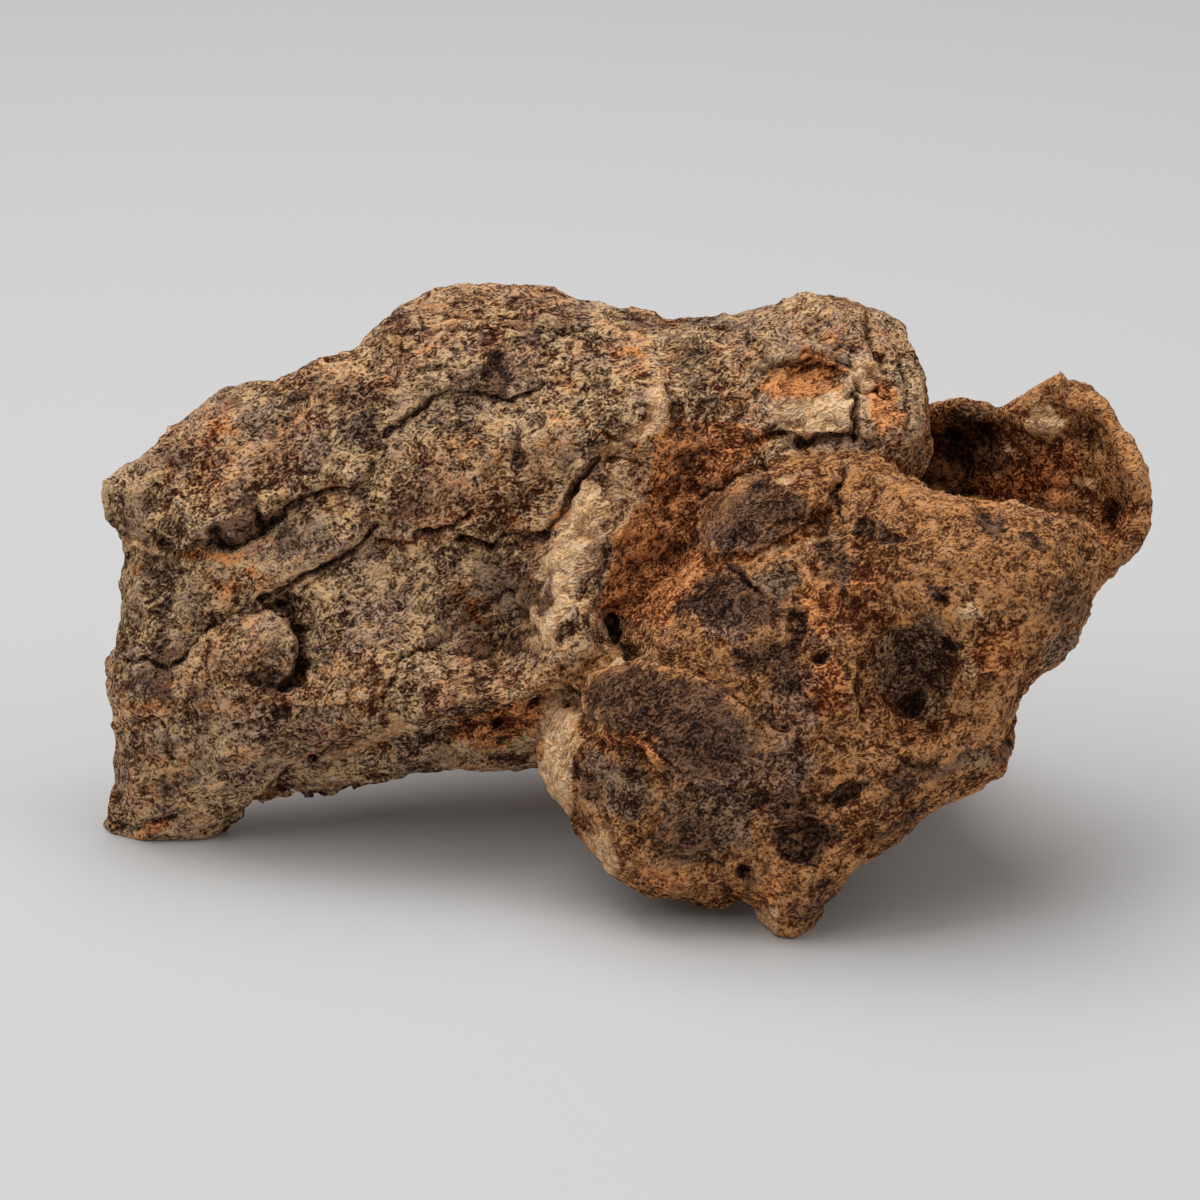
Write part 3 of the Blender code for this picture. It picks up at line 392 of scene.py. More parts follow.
# Ovals and lines of crust on the shown side, by kind
PATCHES = {
    "slate": [
        Patch((-25.4, 45.5), 0.8, 0.6, 0.8), Patch((-27.6, 31.7), 1.6, 0.9, 0.9, 30.0),
        Patch((-27.2, 32.8), 2.4, 1.2, 0.5, 25.0), Patch((-29.4, 28.6), 0.7, 0.5, 0.8),
        Patch((-35.6, 12.8), 1.4, 1.2, 0.8), Patch((16.8, 47.2), 1.0, 0.7, 0.8),
        Patch((12.2, 29.2), 1.6, 1.4, 0.8), Patch((8.0, 10.8), 2.6, 2.2, 0.75),
        Patch((-24.2, 23.6), 0.7, 0.8, 0.7), Patch((-21.4, 41.6), 1.5, 1.1, 0.7),
        Patch((4.4, 49.9), 5.0, 0.5, 0.7), Patch((22.6, 42.4), 1.6, 2.6, 0.5),
        Patch((34.6, 23.8), 1.8, 1.6, 0.55), Patch((27.0, 14.8), 2.4, 1.2, 0.6, 10.0),
        Patch((6.6, 10.6), 4.6, 2.6, 0.5, 20.0),
    ],
    "violet": [
        Patch((-25.2, 40.4), 1.4, 1.7, 0.8), Patch((-38.0, 38.2), 1.6, 0.9, 0.8, 20.0),
        Patch((-4.6, 26.3), 0.7, 1.0, 0.9), Patch((-4.8, 30.6), 0.8, 1.0, 0.8),
        Patch((-3.2, 37.2), 0.9, 2.4, 0.7, -10.0), Patch((16.6, 48.8), 2.1, 0.8, 0.9, 5.0),
        Patch((16.0, 42.8), 0.8, 0.4, 0.8), Patch((8.0, 32.6), 2.4, 1.3, 0.6),
        Patch((7.6, 26.0), 2.2, 1.7, 0.7), Patch((12.8, 14.4), 2.4, 2.0, 0.75),
        Patch((-10.0, 45.4), 1.2, 1.8, 0.6), Patch((-30.0, 18.0), 4.0, 2.0, 0.5, 10.0),
        Patch((-20.0, 26.0), 4.5, 1.6, 0.5, 40.0), Patch((7.0, 15.0), 5.0, 4.0, 0.5, -30.0),
        Patch((13.0, 19.6), 3.0, 4.6, 0.45, 10.0),
    ],
    "rust": [
        Patch((-32.8, 41.0), 1.8, 0.7, 0.55, 15.0), Patch((-30.2, 29.9), 0.7, 0.5, 0.7),
        Patch((-31.8, 28.2), 2.0, 0.5, 0.5), Patch((-5.6, 34.2), 1.3, 1.1, 0.75),
        Patch((-38.8, 19.0), 1.6, 0.6, 0.7, 10.0), Patch((-38.6, 8.9), 1.6, 0.4, 0.7),
        Patch((-25.4, 15.0), 1.0, 0.6, 0.9), Patch((-10.2, 18.2), 3.8, 1.4, 0.9, 12.0),
        Patch((1.8, 31.0), 3.6, 3.4, 1.0, 45.0), Patch((3.4, 28.6), 2.6, 1.8, 0.9, 45.0),
        Patch((7.4, 40.2), 2.6, 1.5, 0.95), Patch((7.4, 38.2), 1.9, 0.8, 1.0, 30.0),
        Patch((3.6, 36.6), 1.8, 1.6, 0.9), Patch((14.4, 46.1), 2.4, 1.0, 1.0),
        Patch((12.8, 44.6), 2.6, 1.7, 0.95), Patch((20.4, 43.2), 1.6, 2.0, 0.6),
        Patch((15.8, 44.5), 1.6, 0.7, 0.8), Patch((-0.4, 47.6), 2.0, 0.5, 0.6),
        Patch((15.2, 26.8), 1.6, 2.4, 0.6), Patch((19.2, 28.6), 2.4, 1.0, 0.5, 10.0),
        Patch((28.8, 23.6), 1.8, 2.2, 0.6), Patch((15.8, 20.4), 1.6, 3.0, 0.55, 10.0),
        Patch((31.4, 36.6), 4.0, 1.2, 0.7, 10.0), Patch((38.8, 33.0), 1.4, 1.6, 0.8),
        Patch((34.8, 38.6), 1.8, 1.8, 0.55), Patch((11.2, 4.4), 1.6, 1.0, 0.6),
        Patch((3.0, 5.2), 2.4, 0.8, 0.5, -15.0),
    ],
    "cream": [
        Patch((-38.8, 31.7), 1.6, 0.4, 0.8), Patch((2.5, 43.6), 0.9, 1.5, 1.0, -10.0),
        Patch((-6.6, 26.2), 1.3, 1.7, 0.7), Patch((-3.6, 26.8), 0.8, 0.8, 0.8),
        Patch((-2.2, 25.5), 1.6, 0.5, 0.9), Patch((-2.2, 23.6), 1.6, 0.4, 0.8),
        Patch((14.6, 42.4), 3.0, 1.7, 0.9, 10.0), Patch((18.6, 45.6), 1.6, 2.2, 0.55),
        Patch((-5.6, 15.4), 1.5, 5.0, 1.0, 3.0), Patch((-2.2, 7.4), 1.4, 2.2, 0.6, 30.0),
        Patch((-18.4, 17.6), 0.8, 0.9, 0.7), Patch((33.0, 41.7), 1.4, 0.9, 0.8),
        Patch((36.8, 37.0), 0.8, 0.5, 0.8), Patch((30.6, 39.2), 0.6, 0.5, 0.5),
        Patch((11.0, 1.8), 1.4, 1.6, 0.6, 30.0),
    ],
    "grain": [
        Patch((-6.2, 42.4), 1.4, 1.4, 0.6), Patch((-18.6, 28.0), 6.0, 4.0, 0.75, 30.0),
        Patch((-14.0, 37.4), 4.4, 2.6, 0.7, 10.0), Patch((-31.0, 23.6), 4.4, 3.0, 0.75, 30.0),
        Patch((-35.4, 13.8), 4.4, 3.6, 1.0), Patch((29.0, 30.6), 8.0, 4.0, 0.85, -15.0),
        Patch((38.0, 40.4), 3.0, 5.0, 0.8, 20.0), Patch((12.4, 6.0), 4.0, 4.0, 0.6),
        Patch((13.6, 43.4), 5.0, 3.0, 0.9), Patch((2.0, 31.4), 3.0, 4.0, 0.85),
        Patch((-5.6, 30.0), 1.8, 5.0, 1.0, -8.0), Patch((-5.6, 15.4), 1.8, 5.0, 0.9, 3.0),
        Patch((-11.6, 39.2), 1.5, 1.3, 0.5), Patch((-20.2, 46.4), 2.0, 2.8, 0.6, -20.0),
        Patch((-23.6, 34.0), 3.0, 1.5, 0.6, 20.0), Patch((-15.8, 22.4), 1.5, 0.9, 0.8),
        Patch((-37.2, 15.8), 1.3, 1.0, 0.6), Patch((3.8, 26.0), 1.1, 1.6, 0.8),
        Patch((20.4, 49.2), 1.5, 1.5, 0.6), Patch((-32.0, 24.0), 3.4, 2.2, 0.6, 30.0),
        Patch((-1.0, 35.6), 1.4, 1.8, 0.6), Patch((10.6, 50.2), 3.0, 1.2, 0.6, 10.0),
        Patch((8.0, 46.0), 3.0, 2.2, 0.5),
    ],
    "dark": [
        Patch((-26.8, 44.2), 2.0, 0.6, 0.6, 5.0), Patch((-31.2, 34.2), 2.2, 0.9, 0.7, 28.0),
        Patch((-28.0, 21.6), 1.6, 1.3, 0.65), Patch((-37.6, 23.0), 1.1, 1.8, 0.6),
        Patch((-38.8, 21.0), 2.0, 1.2, 0.5), Patch((-36.8, 12.4), 0.5, 0.8, 0.8),
        Patch((-33.2, 14.4), 0.8, 0.4, 0.7), Patch((-13.6, 44.8), 1.8, 0.5, 0.6, 5.0),
        Patch((-9.0, 38.8), 0.9, 1.6, 0.6), Patch((-7.6, 27.8), 0.8, 1.5, 0.8),
        Patch((-9.2, 24.8), 1.5, 0.8, 0.8, 10.0), Patch((-12.2, 23.4), 1.6, 1.0, 0.7, 10.0),
        Patch((9.2, 40.8), 0.5, 0.8, 0.8), Patch((6.4, 32.4), 1.6, 1.2, 0.6),
        Patch((8.2, 27.4), 4.6, 2.0, 0.6, -8.0), Patch((11.0, 22.6), 3.6, 1.6, 0.55, -30.0),
        Patch((16.4, 30.4), 1.4, 3.4, 0.5, 15.0), Patch((4.6, 8.4), 3.4, 2.2, 0.5, -20.0),
        Patch((12.6, 11.6), 3.0, 2.0, 0.55, 20.0), Patch((23.0, 13.2), 4.2, 1.4, 0.5, 25.0),
        Patch((35.0, 27.4), 2.0, 2.6, 0.45), Patch((27.4, 39.8), 2.6, 2.6, 0.8),
        Patch((22.0, 20.4), 2.2, 2.6, 0.35, 10.0), Patch((38.4, 33.8), 1.0, 1.3, 0.7),
        Patch((30.2, 15.4), 0.9, 1.2, 0.8), Patch((-3.6, 13.0), 0.6, 2.2, 0.5),
        Patch((14.8, 3.6), 1.0, 2.4, 0.5, -30.0), Patch((21.0, 9.4), 3.0, 0.8, 0.5, 35.0),
        Patch((36.6, 41.0), 2.0, 1.2, 0.35, -40.0),
    ],
}

STREAKS = {
    "rust": [
        Streak([(-36.4, 31.3), (-33.6, 31.1), (-31.2, 31.5)], 0.5, 0.7),
        Streak([(-12.8, 27.6), (-12.6, 26.0), (-11.6, 25.8)], 0.4, 0.7),
        Streak([(-2.4, 17.0), (0.0, 16.5), (1.2, 15.5), (2.6, 14.2)], 0.5, 0.8),
        Streak([(-2.6, 41.2), (-0.8, 40.4), (0.8, 39.4)], 0.4, 0.8),
        Streak([(-1.8, 38.8), (0.4, 38.6)], 0.4, 0.7),
        Streak([(-20.0, 32.0), (-17.4, 32.4), (-15.2, 33.2), (-12.8, 34.6)], 0.5, 0.5),
        Streak([(5.0, 30.8), (7.2, 30.2), (10.4, 31.2), (13.4, 32.6)], 0.7, 0.7),
    ],
    "cream": [
        Streak([(-7.4, 24.8), (-6.8, 26.4), (-6.0, 28.4), (-5.4, 30.4), (-4.9, 31.8), (-4.4, 33.2)],
               1.6, 1.0),
        Streak([(-4.8, 32.6), (-4.0, 34.4), (-3.2, 36.0)], 0.8, 0.9),
        Streak([(1.8, 42.6), (1.2, 41.2), (-0.6, 40.0), (-2.2, 39.4)], 0.9, 0.7),
        Streak([(-0.4, 38.8), (-1.2, 36.4), (-2.6, 33.4), (-3.8, 29.6)], 0.9, 0.45),
        Streak([(12.0, 37.3), (14.4, 37.6)], 0.3, 0.8),
        Streak([(10.4, 31.2), (13.6, 32.0), (16.4, 32.8)], 0.4, 0.5),
        Streak([(-4.6, 20.2), (-3.2, 18.4), (-2.2, 17.5)], 0.5, 0.9),
        Streak([(-24.0, 15.0), (-21.6, 16.0), (-19.2, 16.8), (-17.6, 17.2)], 0.5, 0.8),
        Streak([(-29.0, 11.6), (-26.0, 12.6), (-22.0, 13.2)], 0.4, 0.5),
        Streak([(-26.8, 29.0), (-24.0, 31.2), (-22.0, 32.4)], 0.4, 0.5),
        Streak([(-31.4, 30.4), (-27.6, 30.2), (-24.8, 32.2)], 0.35, 0.5),
    ],
    # The dark lines follow the cracks, the ledges' undercuts and the nub's moat: painted shade of these
    # grooves and overhangs, laid with the black oxide coat
    "dark": [
        Streak([(-34.4, 31.8), (-31.2, 32.6), (-29.4, 33.7), (-28.0, 34.5)], 0.5, 0.9),
        Streak([(-26.4, 35.5), (-22.8, 36.6), (-20.4, 38.6)], 0.35, 0.6),
        Streak([(-29.4, 27.6), (-26.4, 29.0), (-23.6, 30.8), (-20.8, 32.8)], 0.4, 0.8),
        Streak([(-13.6, 32.4), (-11.2, 31.8), (-7.2, 32.8), (-5.6, 34.4), (-4.0, 37.2), (-2.6, 39.2)],
               0.35, 0.8),
        Streak([(-17.2, 32.8), (-15.2, 33.2)], 0.4, 0.8),
        Streak([(-28.0, 27.0), (-26.4, 25.4), (-26.2, 22.4), (-27.6, 20.8)], 0.6, 0.95),
        Streak([(-36.4, 22.4), (-33.6, 25.6), (-29.4, 26.8)], 0.35, 0.6),
        Streak([(-20.0, 40.8), (-16.0, 43.6), (-12.8, 44.2), (-8.8, 44.0)], 0.35, 0.5),
        Streak([(-1.4, 26.2), (-0.9, 24.8), (-0.3, 23.4)], 0.5, 1.0),
        Streak([(17.9, 43.7), (18.0, 40.5), (13.4, 40.5)], 0.4, 0.95),
        Streak([(8.2, 30.1), (10.4, 28.3)], 0.5, 0.8),
        Streak([(16.8, 38.0), (16.4, 36.0), (16.9, 34.0)], 0.5, 0.6),
        Streak([(-2.6, 16.8), (-3.2, 20.2)], 0.4, 0.5),
        Streak([(-37.6, 32.6), (-36.1, 30.9)], 0.4, 0.9),
    ],
}


def linear(code):
    """An sRGB hex colour as linear red, green and blue."""
    parts = [int(code[i:i + 2], 16) / 255.0 for i in (1, 3, 5)]
    return tuple(p / 12.92 if p <= 0.04045 else ((p + 0.055) / 1.055) ** 2.4 for p in parts)


def colour(name, description, code):
    """A colour that the user may change, from its sRGB hex value."""
    return bpy.props.FloatVectorProperty(
        name=name, description=description, subtype="COLOR", size=3, min=0.0, max=1.0, default=linear(code)
    )


def length(name, description, millimetres):
    """A length that the user may change, from millimetres."""
    return bpy.props.FloatProperty(
        name=name, description=description, unit="LENGTH", precision=5, min=0.0, default=millimetres * MM
    )


def share(name, description, default, most=4.0):
    """A plain factor that the user may change."""
    return bpy.props.FloatProperty(name=name, description=description, min=0.0, max=most, default=default)


def power(name, description, watts):
    """A light's power that the user may change."""
    return bpy.props.FloatProperty(name=name, description=description, unit="POWER", min=0.0, default=watts)


class CrustShape(bpy.types.PropertyGroup):
    """How the stone's crust is worked."""

    net_step: length("Net step", "Width of the fine net's cells", 0.25)
    most_triangles: bpy.props.IntProperty(
        name="Most triangles", description="The net is thinned to this many", min=1000, default=194000
    )
    facet_rounds: bpy.props.IntProperty(
        name="Facet smoothing", description="Rounds that soften the solid's flat faces", min=0, default=10
    )
    face_width: length("Break face width", "Typical width of the crust's flat break faces", 5.0)
    crack_depth: share("Crack depth", "How deep the cracks and steps are cut, as a share of the design", 1.0)
    slab_relief: share("Slab relief", "Height of the slab's streaks and grit", 1.0)
    prow_relief: share("Prow relief", "Height of the prow's crumbs and scattered pits", 1.0)
    grain_width: length("Grain width", "Width of the grains that speckle the crust", 0.22)
    curl_size: length("Curl size", "Width of the cloud whose bands are the pale curls", 0.8)


class CrustColours(bpy.types.PropertyGroup):
    """The colours of each kind of crust: the dark tone in its gaps and the light tone of its grains."""

    oxide_dark: colour("Oxide, dark", "Oxide between the tan grains", "#46220F")
    oxide_light: colour("Oxide, light", "Tan grains in the oxide", "#E9C89C")
    soil_dark: colour("Soil, dark", "Damp soil on the prow", "#54260E")
    soil_light: colour("Soil, light", "Dry soil on the prow", "#D49C68")
    rust_dark: colour("Rust, dark", "Damp rust", "#5A200A")
    rust_light: colour("Rust, light", "Powdery rust", "#F8AC6E")
    cream_dark: colour("Caliche, dark", "Lime crust, stained", "#CE9868")
    cream_light: colour("Caliche, light", "Lime crust, clean", "#FFDEB2")
    violet_dark: colour("Purple-grey oxide, dark", "Smooth oxide skin with a purple cast", "#341D16")
    violet_light: colour("Purple-grey oxide, light", "Worn oxide skin with a purple cast", "#C4A28C")
    slate_dark: colour("Blue-grey oxide, dark", "Smooth oxide skin with a blue cast", "#2A1A14")
    slate_light: colour("Blue-grey oxide, light", "Worn oxide skin with a blue cast", "#A48E78")
    # Besides magnetite, the black oxide tones are laid along the cracks and under the ledges as painted shade
    dark_dark: colour("Black oxide, dark", "Magnetite in the pits and cracks", "#200E07")
    dark_light: colour("Black oxide, light", "Magnetite skin, worn", "#80604C")
    warm_cast: colour("Warm cast", "Ochre stain over any of the kinds", "#FFF0D8")
    cool_cast: colour("Cool cast", "Bare oxide's cast over any of the kinds", "#F6F0F4")


class StageLook(bpy.types.PropertyGroup):
    """The sweep and the lights."""

    sweep_colour: colour("Sweep", "Colour of the pale sweep", "#D4D4D4")
    sweep_width: length("Sweep width", "Width of the sweep from side to side", 2400.0)
    top_power: power("Top light", "Power of the large light overhead", 2.1)
    front_power: power("Front light", "Power of the light in front on the left", 1.8)
    side_power: power("Side light", "Power of the light on the right", 2.0)
    room_light: share("Room light", "Brightness of the light from all round", 0.2)


def smooth(t):
    """0 to 1 with no slope at either end."""
    t = np.clip(t, 0.0, 1.0)
    return t * t * (3.0 - 2.0 * t)


def to_sheet(points):
    """World places in metres as places on the sheet, in millimetres."""
    x, y, z = (points / MM + [MIDDLE_X, MIDDLE_Y, BLUNT_Z]).T
    up = y * math.sin(LEAN) + z * math.cos(LEAN)
    out = z * math.sin(LEAN) - y * math.cos(LEAN)
    nearer = 1.0 - out / SIGHT
    return np.c_[SIGHT_ACROSS + (x - SIGHT_ACROSS) / nearer, SIGHT_UP + (up - SIGHT_UP) / nearer, out]


def to_world(place):
    """A place on the sheet, in millimetres, as a world place in metres."""
    across, up, out = place
    nearer = 1.0 - out / SIGHT
    across = SIGHT_ACROSS + (across - SIGHT_ACROSS) * nearer
    up = SIGHT_UP + (up - SIGHT_UP) * nearer
    return Vector((
        across - MIDDLE_X,
        up * math.sin(LEAN) - out * math.cos(LEAN) - MIDDLE_Y,
        up * math.cos(LEAN) + out * math.sin(LEAN) - BLUNT_Z,
    )) * MM


def along(path, places):
    """Distance of each place from a line, and its side: positive on the right as the line is walked."""
    path = np.array(path, float)
    start, run = path[:-1], path[1:] - path[:-1]
    offset = places[:, None, :2] - start[None]
    part = np.clip((offset * run).sum(2) / (run**2).sum(1), 0.0, 1.0)
    reach = np.linalg.norm(offset - part[..., None] * run, axis=2)
    nearest = reach.argmin(1)
    row = np.arange(len(places))
    turn = offset[row, nearest, 1] * run[nearest, 0] - offset[row, nearest, 0] * run[nearest, 1]
    return reach[row, nearest], np.where(turn < 0, 1.0, -1.0)


def close_by(path, places, margin):
    """The places within a margin of the box round a line: only these need measuring."""
    path = np.array(path, float)
    low, high = path.min(0) - margin, path.max(0) + margin
    return np.flatnonzero(np.all((places[:, :2] > low) & (places[:, :2] < high), axis=1))


def stroke(path, places, half_width):
    """1 on a line, falling to 0 at half_width beside it."""
    inked = np.zeros(len(places))
    near = close_by(path, places, half_width)
    if len(near):
        inked[near] = smooth(1.0 - along(path, places[near])[0] / half_width)
    return inked


def stepped(step, places):
    """How far each place sinks below a step, as a negative height."""
    sunk = np.zeros(len(places))
    near = close_by(step.path, places, step.fade)
    if len(near):
        reach, side = along(step.path, places[near])
        into = reach * side
        tips = (step.path[0], step.path[-1])
        ends = np.minimum(*(np.linalg.norm(places[near, :2] - tip, axis=1) for tip in tips))
        drop = smooth((into - BRINK_START) / BRINK_WIDTH)
        sunk[near] = drop * smooth(1.0 - into / step.fade) * smooth(0.2 + ends / STEP_END)
    return -step.drop * sunk


def oval(mark, places):
    """The places near a pit or patch, and how far each is in it: 1 in its middle and 0.5 on its edge."""
    near = close_by([mark.centre, mark.centre], places, 2.0 * max(mark.long, mark.short))
    turn = math.radians(mark.turn)
    offset = places[near, :2] - mark.centre
    lengthwise = offset @ [math.cos(turn), math.sin(turn)] / mark.long
    sideways = offset @ [-math.sin(turn), math.cos(turn)] / mark.short
    return near, smooth(1.5 - np.hypot(lengthwise, sideways))


def within(edge, places, soft):
    """1 inside a closed outline, 0 outside it, turning over a band `soft` wide at its edge."""
    loop = edge + edge[:1]
    reach, _ = along(loop, places)
    inside = np.zeros(len(places), bool)
    for (ax, ay), (bx, by) in zip(loop, loop[1:]):
        if ay != by:
            crosses = (ay > places[:, 1]) != (by > places[:, 1])
            inside ^= crosses & (places[:, 0] < ax + (places[:, 1] - ay) * (bx - ax) / (by - ay))
    return smooth(0.5 + np.where(inside, reach, -reach) / soft)


def cloud(places, size, seed, octaves=1):
    """Noise of about -1 to 1 in lumps of that many millimetres. Each more octave is half as wide and high."""
    total = np.zeros(len(places))
    for octave in range(octaves):
        shifted = places * (2.0**octave / size) + seed * 7.31 + octave * 3.7
        total += np.array([noise.noise(place) for place in shifted.tolist()]) / 2.0**octave
    return total * 1.6


def cells(places, size, seed):
    """Distance to the nearest seed of a scatter of cells, in cell widths, and a number for each cell."""
    shifted = (places / size + seed * 5.17).tolist()
    found = [noise.voronoi(place) for place in shifted]
    reach = np.array([distances[0] for distances, _ in found])
    marks = np.array([noise.cell(seats[0] * 3.1) for _, seats in found])
    return reach, np.modf(np.abs(marks) * 7.77)[0]


def points_of(mesh):
    points = np.empty(len(mesh.vertices) * 3, np.float32)
    mesh.vertices.foreach_get("co", points)
    return points.reshape(-1, 3).astype(float)


def normals_of(mesh):
    normals = np.empty(len(mesh.vertices) * 3, np.float32)
    mesh.vertex_normals.foreach_get("vector", normals)
    return normals.reshape(-1, 3).astype(float)


def put_points(mesh, points):
    mesh.vertices.foreach_set("co", points.astype(np.float32).ravel())
    mesh.update()


def worked(mesh, *steps):
    """The mesh after modifiers, each given as its type and settings."""
    holder = bpy.data.objects.new("holder", mesh)
    bpy.context.scene.collection.objects.link(holder)
    for kind, settings in steps:
        modifier = holder.modifiers.new(kind.title(), kind)
        for name, value in settings.items():
            setattr(modifier, name, value)
    graph = bpy.context.evaluated_depsgraph_get()
    made = bpy.data.meshes.new_from_object(holder.evaluated_get(graph))
    bpy.data.objects.remove(holder)
    return made


def ragged(places, broad, fine):
    """The places pushed about by up to so many mm, so that what is drawn by line or oval has broken edges."""
    across, up = (
        cloud(places, 2.8, seed) * broad + cloud(places, 0.9, seed + 0.5) * fine for seed in (11.0, 12.0)
    )
    return places + np.c_[across, up, np.zeros(len(places))]


def zones(places, facing):
    """How far each place belongs to the prow and horn, to the valley, and to the side that is shown."""
    shown = smooth((facing - SHOWN_FROM) / SHOWN_FADE)
    prow = np.maximum(within(PROW_EDGE, places, ZONE_FADE), within(HORN_EDGE, places, HORN_FADE))
    valley = within(VALLEY_EDGE, places, ZONE_FADE) * shown
    behind = smooth(0.5 + cloud(places, *CLOUDS["hidden prow"]) * 1.6)
    return prow * shown + behind * (1.0 - shown), valley, shown


def broken_flat(points, normals, spacing):
    """The points moved towards flat break faces about `spacing` wide, with crisp edges between them."""
    order = np.random.default_rng(5).permutation(len(points))
    blocks = np.floor(points[order] / spacing).astype(int)
    seeds = points[order[np.unique(blocks, axis=0, return_index=True)[1]]]
    tree = kdtree.KDTree(len(seeds))
    for i, seed in enumerate(seeds):
        tree.insert(seed, i)
    tree.balance()
    spots = points / MM
    asked = points + EDGE_STRAY * np.stack([cloud(spots, EDGE_LUMPS, seed) for seed in (51.0, 52.0, 53.0)], 1)
    nearest = [tree.find_n(place, 2) for place in asked.tolist()]
    owners = np.array([[one[1] for one in pair] for pair in nearest])
    reach = np.array([[one[2] for one in pair] for pair in nearest])
    count = np.maximum(np.bincount(owners[:, 0], minlength=len(seeds)), 1)[:, None]
    middles, faces = (
        np.stack([np.bincount(owners[:, 0], field[:, axis], len(seeds)) for axis in range(3)], 1) / count
        for field in (points, normals)
    )
    alignment = np.linalg.norm(faces, axis=1)
    faces /= np.maximum(alignment, 1e-9)[:, None]
    sound = smooth((alignment - THIN_EDGE) / (SOUND_FACE - THIN_EDGE))
    first = 0.5 + 0.5 * smooth((reach[:, 1] - reach[:, 0]) / (CREASE * spacing))
    moved = np.zeros_like(points)
    for owner, weight in ((owners[:, 0], first), (owners[:, 1], 1.0 - first)):
        face = faces[owner]
        height = ((points - middles[owner]) * face).sum(1)
        alike = smooth(((normals * face).sum(1) - FACE_TURN) / FACE_FADE)
        chip = np.clip(height, -DEEPEST_CHIP, DEEPEST_CHIP) * alike * weight * sound[owner]
        moved -= chip[:, None] * face
    return points + moved


def drawn_relief(places, shown):
    """The steps, cracks, spines and pits of the side that the sheet shows, in mm."""
    relief = np.zeros(len(places))
    for step in STEPS.values():
        relief += STEP_GAIN * stepped(step, places)
    for crack in CRACKS.values():
        relief -= crack.depth * stroke(crack.path, places, crack.half_width * CRACK_SPREAD)
    for spine in SPINES.values():
        relief += SPINE_GAIN * spine.height * stroke(spine.path, places, spine.half_width * SPINE_SPREAD)
    for pit in PITS.values():
        near, dented = oval(pit, places)
        relief[near] -= PIT_GAIN * pit.depth * dented
    return relief * shown


def planed(places, shown):
    """Where facets are worn smooth, from 0 to 1."""
    flat = np.zeros(len(places))
    for panel in PANELS.values():
        near = close_by(panel.edge, places, PLANED_EDGE)
        flat[near] = np.maximum(flat[near], within(panel.edge, places[near], PLANED_EDGE))
    return flat * shown


def along_flow(places, stretch):
    """The places along, across and through the flow of the metal, which climbs to the right."""
    lengthwise = places[:, 0] * math.cos(FLOW_CLIMB) + places[:, 1] * math.sin(FLOW_CLIMB)
    sideways = places[:, 1] * math.cos(FLOW_CLIMB) - places[:, 0] * math.sin(FLOW_CLIMB)
    return np.c_[lengthwise / stretch, sideways, places[:, 2]]


def gritty_relief(points, places, prow, valley, flat, shape):
    """Relief by rule, in mm: streaks and grit on the slab, crumbs and scattered pits on the prow."""
    spots = points / MM
    rough = {
        "streaks": cloud(along_flow(places, STREAK_STRETCH), *CLOUDS["streaks"]),
        "flakes": cloud(along_flow(places, FLAKE_STRETCH), *CLOUDS["flakes"]),
        "swell": cloud(spots, *CLOUDS["swell"]),
        "grit": cloud(spots, *CLOUDS["grit"]),
        "crumbs": sum(part * (0.35 - np.abs(cloud(spots, *lumps))) for part, lumps in CRUMBS),
    }
    loose = spots + 0.35 * np.c_[rough["grit"], rough["flakes"], rough["streaks"]]
    reach, mark = cells(loose, PITTED.width, PITTED.seed)
    rough["pitted"] = smooth(1.35 - reach / (0.16 + 0.22 * mark)) * (mark > 0.55)
    slab = sum(height.slab * rough[name] for name, height in RELIEF.items())
    jagged = sum(height.prow * rough[name] for name, height in RELIEF.items())
    mixed = slab * shape.slab_relief * (1.0 - prow) + jagged * shape.prow_relief * prow
    mixed = mixed * (1.0 - valley) + (VALLEY_PROW * jagged + VALLEY_SLAB * slab) * valley
    return mixed * (1.0 - PLANED_AWAY * flat)


def carved_mesh(shape):
    """The solid as a fine net with its crust in relief."""
    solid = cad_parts["meteorite"].data
    mesh = worked(
        solid,
        ("REMESH", {"mode": "VOXEL", "voxel_size": shape.net_step}),
        ("SMOOTH", {"factor": 0.5, "iterations": shape.facet_rounds}),
    )
    points, normals = points_of(mesh), normals_of(mesh)
    standing = smooth(points[:, 2] / REST_HEIGHT)[:, None]
    points = points + (broken_flat(points, normals, shape.face_width) - points) * standing
    places = to_sheet(points)
    facing = normals @ VIEWER
    prow, valley, shown = zones(places, facing)
    loose = ragged(places, *LINE_STRAY)
    flat = planed(loose, shown)
    drawn = drawn_relief(loose, shown) * shape.crack_depth
    inward = 0.4 * VIEWER + 0.6 * normals  # marks are cut partly along the line of sight
    points = points + drawn[:, None] * standing * MM * inward
    put_points(mesh, points)
    normals = normals_of(mesh)
    grit = gritty_relief(points, places, prow, valley, flat, shape)
    points = points + grit[:, None] * standing * MM * normals
    put_points(mesh, points)
    normals = normals_of(mesh)
    spurs = np.minimum(TALLEST_SPUR + sunk_below(mesh, points, normals, SPUR_ROUNDS), 0.0)
    points = points + spurs[:, None] * standing * MM * normals
    points[:, 2] = np.maximum(points[:, 2], 0.0)
    put_points(mesh, points)
    kept = min(shape.most_triangles / (2 * len(mesh.polygons)), 1.0)
    return one_skin(worked(mesh, ("DECIMATE", {"ratio": kept, "use_collapse_triangulate": True})))


def one_skin(mesh):
    """The mesh without the loose scraps that remeshing and thinning leave beside the stone."""
    net = bmesh.new()
    net.from_mesh(mesh)
    front = [max(net.verts, key=lambda vert: vert.co.z)]
    skin = set(front)
    while front:
        vert = front.pop()
        joined = {edge.other_vert(vert) for edge in vert.link_edges} - skin
        skin |= joined
        front += joined
    bmesh.ops.delete(net, geom=[vert for vert in net.verts if vert not in skin], context="VERTS")
    net.to_mesh(mesh)
    net.free()
    return mesh


